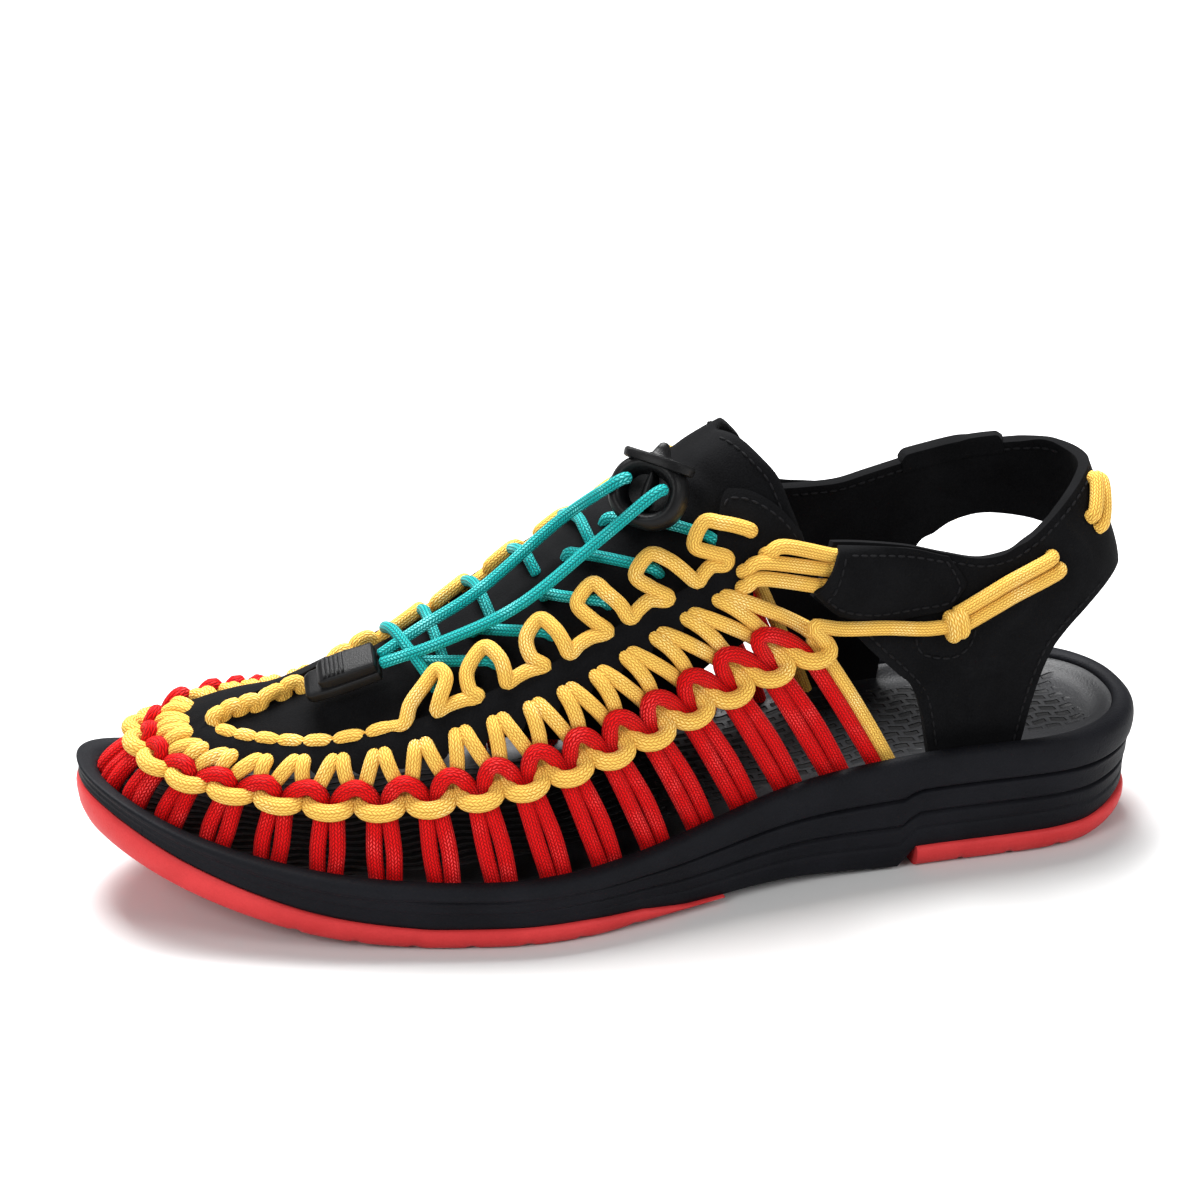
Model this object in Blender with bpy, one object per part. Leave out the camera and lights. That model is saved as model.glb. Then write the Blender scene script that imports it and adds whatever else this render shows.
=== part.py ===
"""Woven cord sandal for the left foot: rubber sole, cord upper on a last, heel strap, lace and cord lock.

Frame: +X to the toe, +Y to the lateral side, +Z up, floor at z = 0. Sizes are in millimetres and are
turned into metres when a mesh is made. "Station" is the distance along the shoe from the back of the heel.
"""
import bmesh
import bpy
import numpy as np

for item in list(bpy.data.objects):
    bpy.data.objects.remove(item, do_unlink=True)

MM = 0.001
GAP = 0.3
LENGTH = 285.0

# Sole: the plan outline, the lines seen from the side and the profile of the side wall.
OUTLINE_COLUMNS = ("station", "lateral", "medial")
OUTLINE = (
    (0, 34.0, 33.0), (35, 37.0, 34.0), (75, 37.5, 34.0), (110, 40.5, 33.0), (130, 44.8, 35.5), (148, 50.2, 39.5),
    (165, 53.5, 43.5), (180, 53.8, 47.0), (195, 51.2, 50.3), (210, 47.8, 52.0), (228, 44.0, 51.3), (245, 41.0, 49.5),
    (285, 39.0, 44.0),
)
AXIS = ((0, 0.0), (150, 0.0), (200, 0.0), (245, -3.5), (285, -11.0))
HEEL_ROUND, HEEL_POWER = 34.0, 2.3
TOE_ROUND, TOE_POWER = 72.0, 2.15
SOLE_COLUMNS = ("station", "ground", "rim", "footbed")
SOLE = (
    (0, 3.5, 33.0, 29.0), (22, 0.0, 32.5, 28.2), (75, 0.0, 32.0, 27.2), (105, 2.0, 29.2, 24.6),
    (135, 1.5, 23.2, 19.4), (165, 0.0, 19.3, 15.9), (205, 0.0, 18.7, 15.7), (235, 3.4, 21.9, 18.4),
    (262, 12.0, 28.7, 25.2), (285, 23.4, 38.8, 35.8),
)
SEAT = (
    (0, 6.4), (71.5, 6.2), (75.5, 1.0), (128, 1.0), (137, 1.6), (150, 4.4), (165, 5.6), (205, 5.9),
    (235, 7.2), (262, 8.2), (285, 7.8),
)
HEEL_PAD_FRONT, FOREFOOT_PAD_REAR = 71.0, 137.0
SIDE_COLUMNS = ("share of height", "inset", "groove")
SIDE = (
    (0.00, 3.0, 0.0), (0.12, 2.3, 0.0), (0.31, 1.9, 0.0), (0.36, 1.8, 1.5), (0.41, 1.5, 0.0),
    (0.60, 0.9, 0.0), (0.64, 0.7, 1.6), (0.69, 0.4, 0.0), (0.86, 0.0, 0.0), (0.96, 0.6, 0.0), (1.00, 2.2, 0.0),
)
GROOVE_FADE = ((0, 1.0), (120, 1.0), (175, 0.35), (285, 0.15))
RIM_WIDTH, CHANNEL_DEPTH = 5.4, 4.0
INSOLE_INSET = 13.8
LUG_PITCH, LUG_GROOVE, LUG_DEPTH = 14.0, 3.0, 1.6

# Last: the wall of the upper stands in the channel on the feather line and rises to the ridge.
FEATHER = 8.3
RIDGE = ((90, 125.0), (120, 113.0), (150, 95.0), (180, 77.5), (210, 63.0), (228, 55.0), (285, 45.0))
RIDGE_FRONT, RIDGE_BLEND = 232.0, 14.0
ARCH_FULL = 2.1
ARCH_COLUMNS = ("arc", "power of the arch")
ARCH = (
    (-260, 2.1), (-150, 2.1), (-125, 1.9), (-100, 1.5), (-80, 1.4), (-25, 1.4), (5, 1.7), (30, 2.0), (45, 2.1),
    (260, 2.1),
)
BAND_COLUMNS = ("station", "outer rise", "inner rise")
BAND = (
    (101, 0.41, 0.46), (104, 0.40, 0.50), (114, 0.375, 0.59), (124, 0.365, 0.65), (131, 0.365, 0.61),
    (139, 0.37, 0.555), (175, 0.39, 0.54), (195, 0.40, 0.55), (215, 0.42, 0.57), (235, 0.47, 0.615),
    (256, 0.46, 0.64), (268, 0.47, 0.66), (277, 0.50, 0.67),
)
RIB_COLUMNS = ("rib", "foot arc", "chain arc", "apex arc", "chain rise")
RIBS = (
    (0, 0.0, 0.0, 0.0, 0.385), (1, 14.5, 15.5, 20.0, 0.345), (2, 25.7, 29.0, 31.5, 0.315),
    (4, 54.0, 56.7, 55.5, 0.305), (8, 113.4, 108.5, 101.2, 0.255), (12, 169.9, 153.3, 140.0, 0.25),
    (17, 236.0, 213.0, 184.0, 0.25),
)
RIB_COUNT = 16
CORD = 3.9
LACE = 2.8
TONGUE_LOW, TONGUE_HIGH = -2.0, 0.1
BAND_LOW, BAND_HIGH = 0.4, 2.8


def smooth(table, column, at):
    """Cubic curve through the rows of a table, with slopes from the neighbouring rows."""
    rows = np.asarray(table, float)
    x, y = rows[:, 0], rows[:, column]
    slope = np.gradient(y, x)
    at = np.clip(np.asarray(at, float), x[0], x[-1])
    i = np.clip(np.searchsorted(x, at, side="right") - 1, 0, len(x) - 2)
    step = x[i + 1] - x[i]
    q = (at - x[i]) / step
    start = (1 + 2 * q) * (1 - q) ** 2 * y[i] + q * (1 - q) ** 2 * step * slope[i]
    return start + q * q * (3 - 2 * q) * y[i + 1] + q * q * (q - 1) * step * slope[i + 1]


def linear(table, at):
    """Straight lines through the rows of a two-column table."""
    rows = np.asarray(table, float)
    return np.interp(at, rows[:, 0], rows[:, 1])


def edge(station, side, inset):
    """Y of the plan outline: half width less the inset, closed by super-ellipses at heel and toe."""
    heel = np.clip(1 - (station - inset) / HEEL_ROUND, 0, 1)
    toe = np.clip(1 - (LENGTH - inset - station) / TOE_ROUND, 0, 1)
    closing = (1 - heel ** HEEL_POWER) ** (1 / HEEL_POWER) * (1 - toe ** TOE_POWER) ** (1 / TOE_POWER)
    width = smooth(OUTLINE, 1 if side > 0 else 2, station) - inset
    return smooth(AXIS, 1, station) + side * width * closing


def outline_point(station, side, inset, height):
    return (station - LENGTH / 2, float(edge(station, side, inset)), float(height))


# The shoe is moved sideways so that the frame's origin lies under the middle of its box.
SHARES = np.unique(np.concatenate([
    (1 - np.cos(np.linspace(0, np.pi, 25))) / 2, (np.array([71.2, 75.8, 137.0, 150.0, 165.0]) - 4.2) / (LENGTH - 8.4),
]))
SIDE_SHIFT = -0.5 * (edge(LENGTH * SHARES, 1, 0.0).max() + edge(LENGTH * SHARES, -1, 0.0).min())


def ground(station):
    return np.maximum(smooth(SOLE, 1, station), 0.0)


def seat(station):
    return ground(station) + linear(SEAT, station)


def rim(station):
    return smooth(SOLE, 2, station)


def footbed(station):
    return smooth(SOLE, 3, station)


def add(name, points, faces, material):
    """Make one named object from points in millimetres, with its normals turned outward."""
    mesh = bpy.data.meshes.new(name)
    mesh.from_pydata([tuple((np.asarray(p, float) + (0, SIDE_SHIFT, 0)) * MM) for p in points], [], faces)
    work = bmesh.new()
    work.from_mesh(mesh)
    bmesh.ops.recalc_face_normals(work, faces=work.faces)
    work.to_mesh(mesh)
    work.free()
    mesh.materials.append(material)
    piece = bpy.data.objects.new(name, mesh)
    bpy.context.scene.collection.objects.link(piece)
    return piece


def paint(name, colour, roughness):
    material = bpy.data.materials.new(name)
    material.use_nodes = True
    shader = material.node_tree.nodes["Principled BSDF"]
    shader.inputs["Base Color"].default_value = (*colour, 1.0)
    shader.inputs["Roughness"].default_value = roughness
    return material


RED_RUBBER = paint("red_rubber", (0.55, 0.03, 0.03), 0.55)
BLACK_RUBBER = paint("black_rubber", (0.012, 0.012, 0.015), 0.6)
FOOTBED_FOAM = paint("footbed_foam", (0.02, 0.02, 0.022), 0.7)
RED_CORD = paint("red_cord", (0.55, 0.01, 0.015), 0.6)
YELLOW_CORD = paint("yellow_cord", (0.85, 0.42, 0.05), 0.6)
TEAL_LACE = paint("teal_lace", (0.01, 0.35, 0.33), 0.5)
MICROFIBRE = paint("black_microfibre", (0.006, 0.006, 0.006), 0.85)
BLACK_PLASTIC = paint("black_plastic", (0.01, 0.01, 0.01), 0.4)


def ladder(count, single):
    """Faces straight across a ring; single is True when index 0 is one point at the heel."""
    left, right = (1, count - 1) if single else (0, count - 1)
    faces = [(0, 1, count - 1)] if single else []
    while right - left > 2:
        faces.append((left, left + 1, right - 1, right))
        left, right = left + 1, right - 1
    faces.append((left, left + 1, right))
    return faces


def loft(rings, single):
    """Closed body from rings with equal counts: side faces between rings and ladders at both ends."""
    count = len(rings[0])
    faces = []
    for level in range(len(rings) - 1):
        low, high = level * count, (level + 1) * count
        for i in range(count):
            j = (i + 1) % count
            faces.append((low + i, low + j, high + j, high + i))
    last = (len(rings) - 1) * count
    across = ladder(count, single)
    faces += across + [tuple(last + i for i in face) for face in across]
    return [p for ring in rings for p in ring], faces


def thick(outer, inner, faces):
    """Closed wall: the outer faces, the same faces on the inner points, and walls on the free edges."""
    count = len(outer)
    used = {}
    for face in faces:
        for a, b in zip(face, face[1:] + face[:1]):
            used[(a, b)] = used.get((a, b), 0) + 1
    walls = [(b, a, a + count, b + count) for a, b in used if (b, a) not in used]
    backs = [tuple(i + count for i in reversed(face)) for face in faces]
    return list(outer) + list(inner), list(faces) + backs + walls


def grid_faces(rows, columns):
    faces = []
    for r in range(rows - 1):
        for c in range(columns - 1):
            a = r * columns + c
            faces.append((a, a + 1, a + columns + 1, a + columns))
    return faces


def tube(path, radius, sides):
    """Closed round cord: rings turned along the path without twist, and flat ends; radius may vary."""
    path = np.asarray(path, float)
    radii = np.broadcast_to(radius, len(path))
    ahead = np.gradient(path, axis=0)
    ahead /= np.linalg.norm(ahead, axis=1)[:, None]
    normal = np.cross(ahead[0], (0.0, 0.0, 1.0))
    points = []
    for p, t, r in zip(path, ahead, radii):
        normal = normal - t * np.dot(normal, t)
        normal /= np.linalg.norm(normal)
        other = np.cross(t, normal)
        for k in range(sides):
            angle = 2 * np.pi * k / sides
            points.append(p + r * (np.cos(angle) * normal + np.sin(angle) * other))
    faces = [tuple(reversed(range(sides)))]
    for ring in range(len(path) - 1):
        for k in range(sides):
            a, b = ring * sides + k, ring * sides + (k + 1) % sides
            faces.append((a, b, b + sides, a + sides))
    faces.append(tuple((len(path) - 1) * sides + k for k in range(sides)))
    return points, faces


def through(knots, steps):
    """Points on a rounded curve through knots (Catmull-Rom), steps per span."""
    knots = np.asarray(knots, float)
    slope = np.gradient(knots, axis=0)
    points = []
    for a, b, ta, tb in zip(knots[:-1], knots[1:], slope[:-1], slope[1:]):
        for q in np.linspace(0, 1, steps, endpoint=False):
            start = (1 + 2 * q) * (1 - q) ** 2 * a + q * (1 - q) ** 2 * ta
            points.append(start + q * q * (3 - 2 * q) * b + q * q * (q - 1) * tb)
    points.append(knots[-1])
    return np.array(points)


# The last. Arc is the length along the feather line from the toe tip, lateral above zero, medial below.
TIP = LENGTH - FEATHER
STATION_RUN = TIP - (TIP - 62.0) * np.linspace(0, 1, 400) ** 2


def feather(station, side):
    return np.stack([station - LENGTH / 2, edge(station, side, FEATHER), footbed(station)], -1)


def run_length(side):
    steps = np.diff(feather(STATION_RUN, side), axis=0)
    return np.concatenate([[0.0], np.cumsum(np.linalg.norm(steps, axis=1))])


RUN = {1: run_length(1), -1: run_length(-1)}
ARC_SHARE = {1: 1.0, -1: RUN[-1][-1] / RUN[1][-1]}


def arc_at(station, side):
    return side * float(np.interp(-station, -STATION_RUN, RUN[side]))


def skin(arc, rise):
    """Point of the last: a quarter super-ellipse from the feather line (rise 0) to the ridge (rise 1)."""
    side = 1 if arc >= 0 else -1
    station = float(np.interp(abs(arc), RUN[side], STATION_RUN))
    foot = feather(np.array(station), side)
    top = 0.5 * (station + RIDGE_FRONT - np.sqrt((station - RIDGE_FRONT) ** 2 + RIDGE_BLEND ** 2))
    crest = np.array([top - LENGTH / 2, float(smooth(AXIS, 1, top)), float(smooth(RIDGE, 1, top))])
    angle = rise * np.pi / 2
    power = min(float(smooth(ARCH, 1, arc)), ARCH_FULL)
    inward = 1 - max(np.cos(angle), 0.0) ** (2 / power)
    upward = np.sin(angle) ** (2 / power) if rise > 0 else 0.0
    share = np.array([inward, inward, upward])
    return foot * (1 - share) + crest * share


def upper(arc, rise, height):
    """Point at a height above the last, along its normal."""
    along = skin(arc + 0.5, rise) - skin(arc - 0.5, rise)
    if rise > 0.98:
        along = skin(abs(arc) - 0.5, rise) - skin(abs(arc) + 0.5, rise)
        normal = np.cross(along, (0.0, 1.0, 0.0))
        normal = normal if normal[2] > 0 else -normal
    else:
        up = skin(arc, min(rise + 0.02, 1.0)) - skin(arc, max(rise - 0.02, 0.0))
        normal = np.cross(along, up)
    return skin(arc, rise) + height * normal / np.linalg.norm(normal)


def on_upper(station, side, rise, height):
    return upper(arc_at(station, side), rise, height)


def band_rise(arc, column):
    side = 1 if arc >= 0 else -1
    station = float(np.interp(abs(arc), RUN[side], STATION_RUN))
    return float(smooth(BAND, column, station))


# Midsole: side wall with two grooves, rounded rim, channel and a recess for the footbed.
def sole_ring(inset, height):
    """Ring of the outline at an inset; height is a function of the station."""
    run = inset + (LENGTH - 2 * inset) * SHARES
    lateral = [outline_point(s, 1, inset, height(s)) for s in run]
    medial = [outline_point(s, -1, inset, height(s)) for s in run[-2:0:-1]]
    return lateral + medial


def side_ring(share, inset, groove):
    def wall(station):
        return seat(station) * (1 - share) + rim(station) * share

    ring = sole_ring(inset, wall)
    if groove:
        cut = sole_ring(inset + groove, wall)
        fade = [float(linear(GROOVE_FADE, p[0] + LENGTH / 2)) for p in ring]
        ring = [tuple(np.array(a) * (1 - f) + np.array(b) * f) for a, b, f in zip(ring, cut, fade)]
    return ring


def channel_floor(station):
    return footbed(station) - CHANNEL_DEPTH


midsole_rings = [side_ring(*row) for row in SIDE]
midsole_rings.append(sole_ring(RIM_WIDTH - 0.8, lambda s: rim(s) - 0.1))
midsole_rings.append(sole_ring(RIM_WIDTH, lambda s: rim(s) - 1.0))
midsole_rings.append(sole_ring(RIM_WIDTH, channel_floor))
add("midsole", *loft(midsole_rings, True), BLACK_RUBBER)

# Footbed, lying in the recess inside the cord channel.
insole_rings = [
    sole_ring(INSOLE_INSET, lambda s: channel_floor(s) + GAP),
    sole_ring(INSOLE_INSET, lambda s: footbed(s) - 1.0),
    sole_ring(INSOLE_INSET + 1.0, footbed),
]
add("insole", *loft(insole_rings, True), FOOTBED_FOAM)


# Tread pads: a slab under the midsole with cross grooves between the lugs.
def lug_stations(start, stop):
    """Stations at the edges of each lug between start and stop, with steep groove walls."""
    run = [start, start + 5.0]
    at = start + LUG_PITCH
    while at + LUG_GROOVE < stop - 12:
        run += [at, at + 0.6, at + LUG_GROOVE - 0.6, at + LUG_GROOVE]
        at += LUG_PITCH
    return run


def lug_raise(station, start, stop):
    """How far the underside is cut back at a station: LUG_DEPTH inside a groove, zero on a lug."""
    if station < start + LUG_PITCH - 0.1 or station > stop - 12:
        return 0.0
    at = (station - start) % LUG_PITCH
    inside = min(at, LUG_GROOVE - at)
    return LUG_DEPTH * float(np.clip(inside / 0.6, 0, 1))


def pad(name, stations, tip, start, stop):
    """Slab whose ring goes along the lateral side to the tip and back on the medial side."""
    def level(station, share):
        low = ground(station) + lug_raise(station, start, stop)
        return low * (1 - share) + (seat(station) - GAP) * share

    rings = []
    for inset, share in ((5.5, 0.0), (3.2, 0.06), (2.0, 0.4), (1.9, 0.75), (2.6, 1.0)):
        end = inset if tip < LENGTH / 2 else LENGTH - inset
        run = [s for s in stations if abs(s - end) > 1.0 and (s > end) == (end < LENGTH / 2)]
        lateral = [outline_point(s, 1, inset, level(s, share)) for s in run]
        medial = [outline_point(s, -1, inset, level(s, share)) for s in reversed(run)]
        rings.append(lateral + [outline_point(end, 1, inset, level(end, share))] + medial)
    add(name, *loft(rings, False), RED_RUBBER)


toe_end = [262.0, 269.0, 274.0, 277.0, 278.3]
pad("outsole_forefoot", lug_stations(FOREFOOT_PAD_REAR, 255.0) + [252.0] + toe_end, LENGTH, FOREFOOT_PAD_REAR, 255.0)
heel_run = lug_stations(HEEL_PAD_FRONT - 56.0, HEEL_PAD_FRONT)[2:]
heel_stations = [HEEL_PAD_FRONT, HEEL_PAD_FRONT - 5.0] + heel_run[::-1] + [24.0, 18.0, 13.0, 9.5, 7.2]
pad("outsole_heel", heel_stations, 0.0, HEEL_PAD_FRONT - 56.0, HEEL_PAD_FRONT)


# Woven upper: one wall laid out by ribs. Level 0 is the foot of a bar, 1 the chain, 2 the apex at the band.
class Weave:
    INNER = -1.6

    def __init__(self):
        self.outer, self.inner, self.faces, self.index = [], [], [], {}

    def place(self, rib, level):
        """Arc and rise on the last for a rib number and a level."""
        size, sign = abs(rib), 1 if rib >= 0 else -1
        foot, chain, apex = (ARC_SHARE[sign] * float(smooth(RIBS, c, size)) for c in (1, 2, 3))
        low, high = float(smooth(RIBS, 4, size)), band_rise(sign * apex, 1) - 0.012
        if level <= 1:
            return sign * (foot + (chain - foot) * level), low * level
        return sign * (chain + (apex - chain) * (level - 1)), low + (high - low) * (level - 1)

    def apex(self, rib):
        """Rib number at which the loop of a rib hangs from the band: half a rib behind the rib's own link."""
        return rib + 0.5 if rib >= 0 else -0.5 + (rib + 1) * RIB_COUNT / (RIB_COUNT - 1)

    def point(self, rib, level, height, sunk=False):
        """Index of a point of the layout; sunk points stand just above the floor of the channel."""
        key = (round(rib, 4), round(level, 4), sunk)
        if key not in self.index:
            arc, rise = self.place(rib, level)
            pair = [upper(arc, rise, height), upper(arc, rise, self.INNER)]
            for p in pair if sunk else ():
                p[2] = float(channel_floor(p[0] + LENGTH / 2)) + GAP + 0.1
            self.index[key] = len(self.outer)
            self.outer.append(pair[0])
            self.inner.append(pair[1])
        return self.index[key]

    def strip(self, rows):
        for low, high in zip(rows[:-1], rows[1:]):
            for i in range(len(low) - 1):
                self.faces.append((low[i], low[i + 1], high[i + 1], high[i]))


weave = Weave()
HALF = 0.30
LEG_IN, LEG_OUT = 0.12, 0.45
APEX_HALF = 0.41
CHAIN_LOW, CHAIN_HIGH, APEX_JOIN = 0.84, 1.24, 1.82
EDGE_HEIGHT, STRIP_HEIGHT, CHAIN_HEIGHT = 0.5, 1.9, 2.9
BAR_HEIGHTS = (EDGE_HEIGHT, STRIP_HEIGHT, EDGE_HEIGHT)
CHAIN_HEIGHTS = (2.1, CHAIN_HEIGHT, 2.1, 2.1)
LEG_HEIGHT = 1.4


def weave_row(ribs, level, heights, sunk=False):
    return [weave.point(rib, level, height, sunk) for rib, height in zip(ribs, heights)]


def leg_row(ribs, level):
    return weave_row(ribs, level, [LEG_HEIGHT] * len(ribs))


for k in range(-RIB_COUNT, RIB_COUNT + 1):
    cord_pair = (k - HALF, k, k + HALF)
    bar = [weave_row(cord_pair, 0.0, BAR_HEIGHTS, True)]
    bar += [weave_row(cord_pair, level, BAR_HEIGHTS) for level in (0.0, 0.42, CHAIN_LOW)]
    weave.strip(bar)
    following = k < RIB_COUNT
    links = cord_pair + ((k + 1 - HALF,) if following else ())
    low = weave_row(links, CHAIN_LOW, BAR_HEIGHTS + (EDGE_HEIGHT,))
    crown = weave_row(links, 1.0, CHAIN_HEIGHTS)
    weave.strip([low, crown])
    feet = leg_row((k - LEG_OUT, k - LEG_IN, k + LEG_IN, k + LEG_OUT), CHAIN_HIGH)
    weave.faces.append((crown[0], crown[1], feet[1], feet[0]))
    weave.faces.append((crown[1], feet[2], feet[1]))
    weave.faces.append((crown[1], crown[2], feet[3], feet[2]))
    if following:
        weave.faces.append((crown[2], crown[3], leg_row((k + 1 - LEG_OUT,), CHAIN_HIGH)[0], feet[3]))
    apex = weave.apex(k)
    for foot, head in ((feet[:2], (apex - APEX_HALF, apex)), (feet[2:], (apex, apex + APEX_HALF))):
        weave.strip([foot] + [leg_row(head, level) for level in (APEX_JOIN, 2.0)])
add("upper_cord_weave", *thick(weave.outer, weave.inner, weave.faces), RED_CORD)


# Instep band: a U of microfibre on the outside of the tongue, from one ankle round the toe to the other.
BAND_ENDS = (116.0, 107.0, 103.0)
BAND_STEPS = 40
outer, inner = [], []
for row, share in enumerate((0.0, 0.5, 1.0)):
    ends = [arc_at(BAND_ENDS[row], side) for side in (1, -1)]
    for q in np.linspace(0, 1, BAND_STEPS + 1):
        arc = ends[0] * (1 - 2 * q) if q <= 0.5 else ends[1] * (2 * q - 1)
        rise = band_rise(arc, 1) * (1 - share) + band_rise(arc, 2) * share
        outer.append(upper(arc, rise, BAND_HIGH))
        inner.append(upper(arc, rise, BAND_LOW))
add("upper_instep_band", *thick(outer, inner, grid_faces(3, BAND_STEPS + 1)), MICROFIBRE)

# Tongue: the panel inside the U, under the band's inner edge; its top edge slopes up to the middle.
TONGUE_SIDE, TONGUE_MIDDLE = 104.0, 116.0
TONGUE_STEPS = 32
TONGUE_UNDER = 0.05
CREST = 0.94
outer, inner = [], []
for share in (0.0, 0.5, 1.0):
    ends = [arc_at(TONGUE_SIDE + (TONGUE_MIDDLE - TONGUE_SIDE) * share, side) for side in (1, -1)]
    for q in np.linspace(0, 1, TONGUE_STEPS + 1):
        arc = ends[0] * (1 - 2 * q) if q <= 0.5 else ends[1] * (2 * q - 1)
        rise = (band_rise(arc, 2) - TONGUE_UNDER) * (1 - share) + CREST * share
        outer.append(upper(arc, rise, TONGUE_HIGH))
        inner.append(upper(arc, rise, TONGUE_LOW))
columns = TONGUE_STEPS + 1
faces = grid_faces(3, columns)
faces += [tuple(2 * columns + i for i in face) for face in ladder(columns, False)]
add("tongue", *thick(outer, inner, faces), MICROFIBRE)


# Heel strap: a wall round the heel; the legs go down into the channel and the sling passes behind the heel.
STRAP_BACK = ((24, 12.0), (55, 8.5), (70, 6.2), (85, 10.5), (98, 15.5))
STRAP_WIDTH = ((24, 26.2), (40, 26.4), (60, 25.8), (80, 24.0), (98, 21.0))
STRAP_ROUND, STRAP_POWER = 36.0, 2.2
STRAP_COLUMNS = ("station", "lateral low", "lateral top", "medial low", "medial top")
STRAP = (
    (8, 68.0, 98.0, 68.0, 98.0), (9, 67.0, 97.9, 68.0, 97.8), (12, 64.5, 97.5, 68.5, 97.0),
    (15, 62.5, 97.0, 69.2, 95.5), (20, 60.0, 96.0, 70.0, 94.5),
    (25, 57.5, 94.5, 71.0, 96.5), (32, 53.0, 92.0, 71.0, 96.0), (38, 46.0, 89.0, 70.5, 95.5),
    (42, 31.0, 87.0, 69.5, 95.0), (46, 24.6, 85.5, 68.0, 94.5), (52, 24.6, 84.0, 62.0, 94.0),
    (56, 24.6, 83.5, 45.0, 91.5), (58, 24.6, 84.0, 24.6, 90.0), (63, 24.6, 85.0, 24.6, 88.5),
    (66.5, 33.0, 86.0, 33.0, 87.5), (73, 50.0, 87.5, 50.0, 87.0), (83, 64.0, 89.5, 64.0, 87.5),
    (98, 77.0, 91.0, 77.0, 88.5),
)
STRAP_HALF = 1.5


def strap_skin(station, side, level):
    """Point of the heel wall: straight sides closed by a super-ellipse behind the heel at each level."""
    back = float(smooth(STRAP_BACK, 1, level))
    first, last = STRAP[0][0], STRAP[-1][0]
    s = back + (station - first) * (last - back) / (last - first)
    closing = (1 - np.clip(1 - (s - back) / STRAP_ROUND, 0, 1) ** STRAP_POWER) ** (1 / STRAP_POWER)
    return np.array([s - LENGTH / 2, side * float(smooth(STRAP_WIDTH, 1, level)) * closing, level])


def strap_point(station, side, level, height):
    """Point at a height above the heel wall, along its outward normal."""
    if station <= STRAP[0][0] + 0.01:
        along = np.array([0.0, side, 0.0])
    else:
        along = strap_skin(station + 0.3, side, level) - strap_skin(station - 0.3, side, level)
    up = strap_skin(station, side, level + 0.5) - strap_skin(station, side, level - 0.5)
    normal = np.cross(up, along) * side
    return strap_skin(station, side, level) + height * normal / np.linalg.norm(normal)


STRAP_ROWS = 5
outer, inner = [], []
rows = [(row, -1) for row in reversed(STRAP[1:])] + [(row, 1) for row in STRAP]
for share in np.linspace(0, 1, STRAP_ROWS):
    for row, side in rows:
        low, top = (row[1], row[2]) if side > 0 else (row[3], row[4])
        level = low * (1 - share) + top * share
        outer.append(strap_point(row[0], side, level, STRAP_HALF))
        inner.append(strap_point(row[0], side, level, -STRAP_HALF))
add("upper_heel_strap", *thick(outer, inner, grid_faces(STRAP_ROWS, len(rows))), MICROFIBRE)

# Pocket at the front of the strap on each side: a second layer stitched on the outside.
POCKET_COLUMNS = ("station", "low", "top")
POCKET = ((97.0, 79.0, 88.5), (84.0, 71.0, 86.5), (72.0, 72.0, 85.0), (61.0, 75.5, 82.5))
for name, side in (("strap_pocket_lateral", 1), ("strap_pocket_medial", -1)):
    outer, inner = [], []
    for share in (0.0, 0.5, 1.0):
        for station, low, top in POCKET:
            level = low * (1 - share) + top * share
            outer.append(strap_point(station, side, level, STRAP_HALF + GAP + 1.2))
            inner.append(strap_point(station, side, level, STRAP_HALF + GAP))
    add(name, *thick(outer, inner, grid_faces(3, len(POCKET))), MICROFIBRE)

# Throat cord: running stitch along the band's inner edge at the toe, then six lace loops on each side.
LOOP_COLUMNS = ("front leg", "rear leg", "top station", "top rise", "top height")
LOOPS = (
    (205.0, 198.0, 195.6, 0.66, 5.8), (187.5, 180.3, 184.0, 0.66, 5.8), (170.5, 163.5, 170.0, 0.64, 5.8),
    (153.5, 146.5, 155.2, 0.635, 5.8), (136.0, 128.8, 140.4, 0.63, 6.4), (121.0, 114.0, 125.6, 0.60, 8.4),
)
CORD_HEIGHT = BAND_HIGH + 2 * GAP + CORD / 2
LEG_RISE = 0.495


def throat_side(side):
    """Knots of one side of the throat cord from the ankle forward to the first loop."""
    knots = []
    for front, rear, top, rise, height in reversed(LOOPS):
        knots.append(on_upper(rear, side, LEG_RISE - 0.01, CORD_HEIGHT))
        knots.append(on_upper(top - 2.6, side, rise - 0.035, height))
        knots.append(on_upper(top, side, rise, height))
        knots.append(on_upper(top + 2.6, side, rise - 0.035, height))
        knots.append(on_upper(front, side, LEG_RISE - 0.01, CORD_HEIGHT))
    return knots


stitches = [upper(arc, band_rise(arc, 2) - 0.035, CORD_HEIGHT) for arc in np.linspace(86, -86, 13)]
throat = throat_side(1) + stitches + throat_side(-1)[::-1]
add("throat_cord", *tube(through(throat, 2), CORD / 2, 5), YELLOW_CORD)

# Ankle cords: three cords side by side from the band's end to the strap's front edge, one body on each side.
ANKLE_START = ((109.0, 0.445), (116.0, 0.385))
ANKLE_LEVELS = (88.8, 78.6)
ANKLE_PROFILE = (1.6, 3.9, 1.8, 3.9, 1.8, 3.9, 1.6)
for name, side in (("ankle_cords_lateral", 1), ("ankle_cords_medial", -1)):
    bottoms, tops = [], []
    for share, height in zip(np.linspace(0, 1, len(ANKLE_PROFILE)), ANKLE_PROFILE):
        station, rise = (a * (1 - share) + b * share for a, b in zip(*ANKLE_START))
        level = ANKLE_LEVELS[0] * (1 - share) + ANKLE_LEVELS[1] * share
        for points, above in ((bottoms, 0.0), (tops, height)):
            points.append(on_upper(station, side, rise, BAND_HIGH + GAP + above))
            points.append(strap_point(98.0, side, level, 0.6 + above) + (0.7, 0.0, 0.0))
    add(name, *thick(tops, bottoms, grid_faces(len(ANKLE_PROFILE), 2)), YELLOW_CORD)

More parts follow.
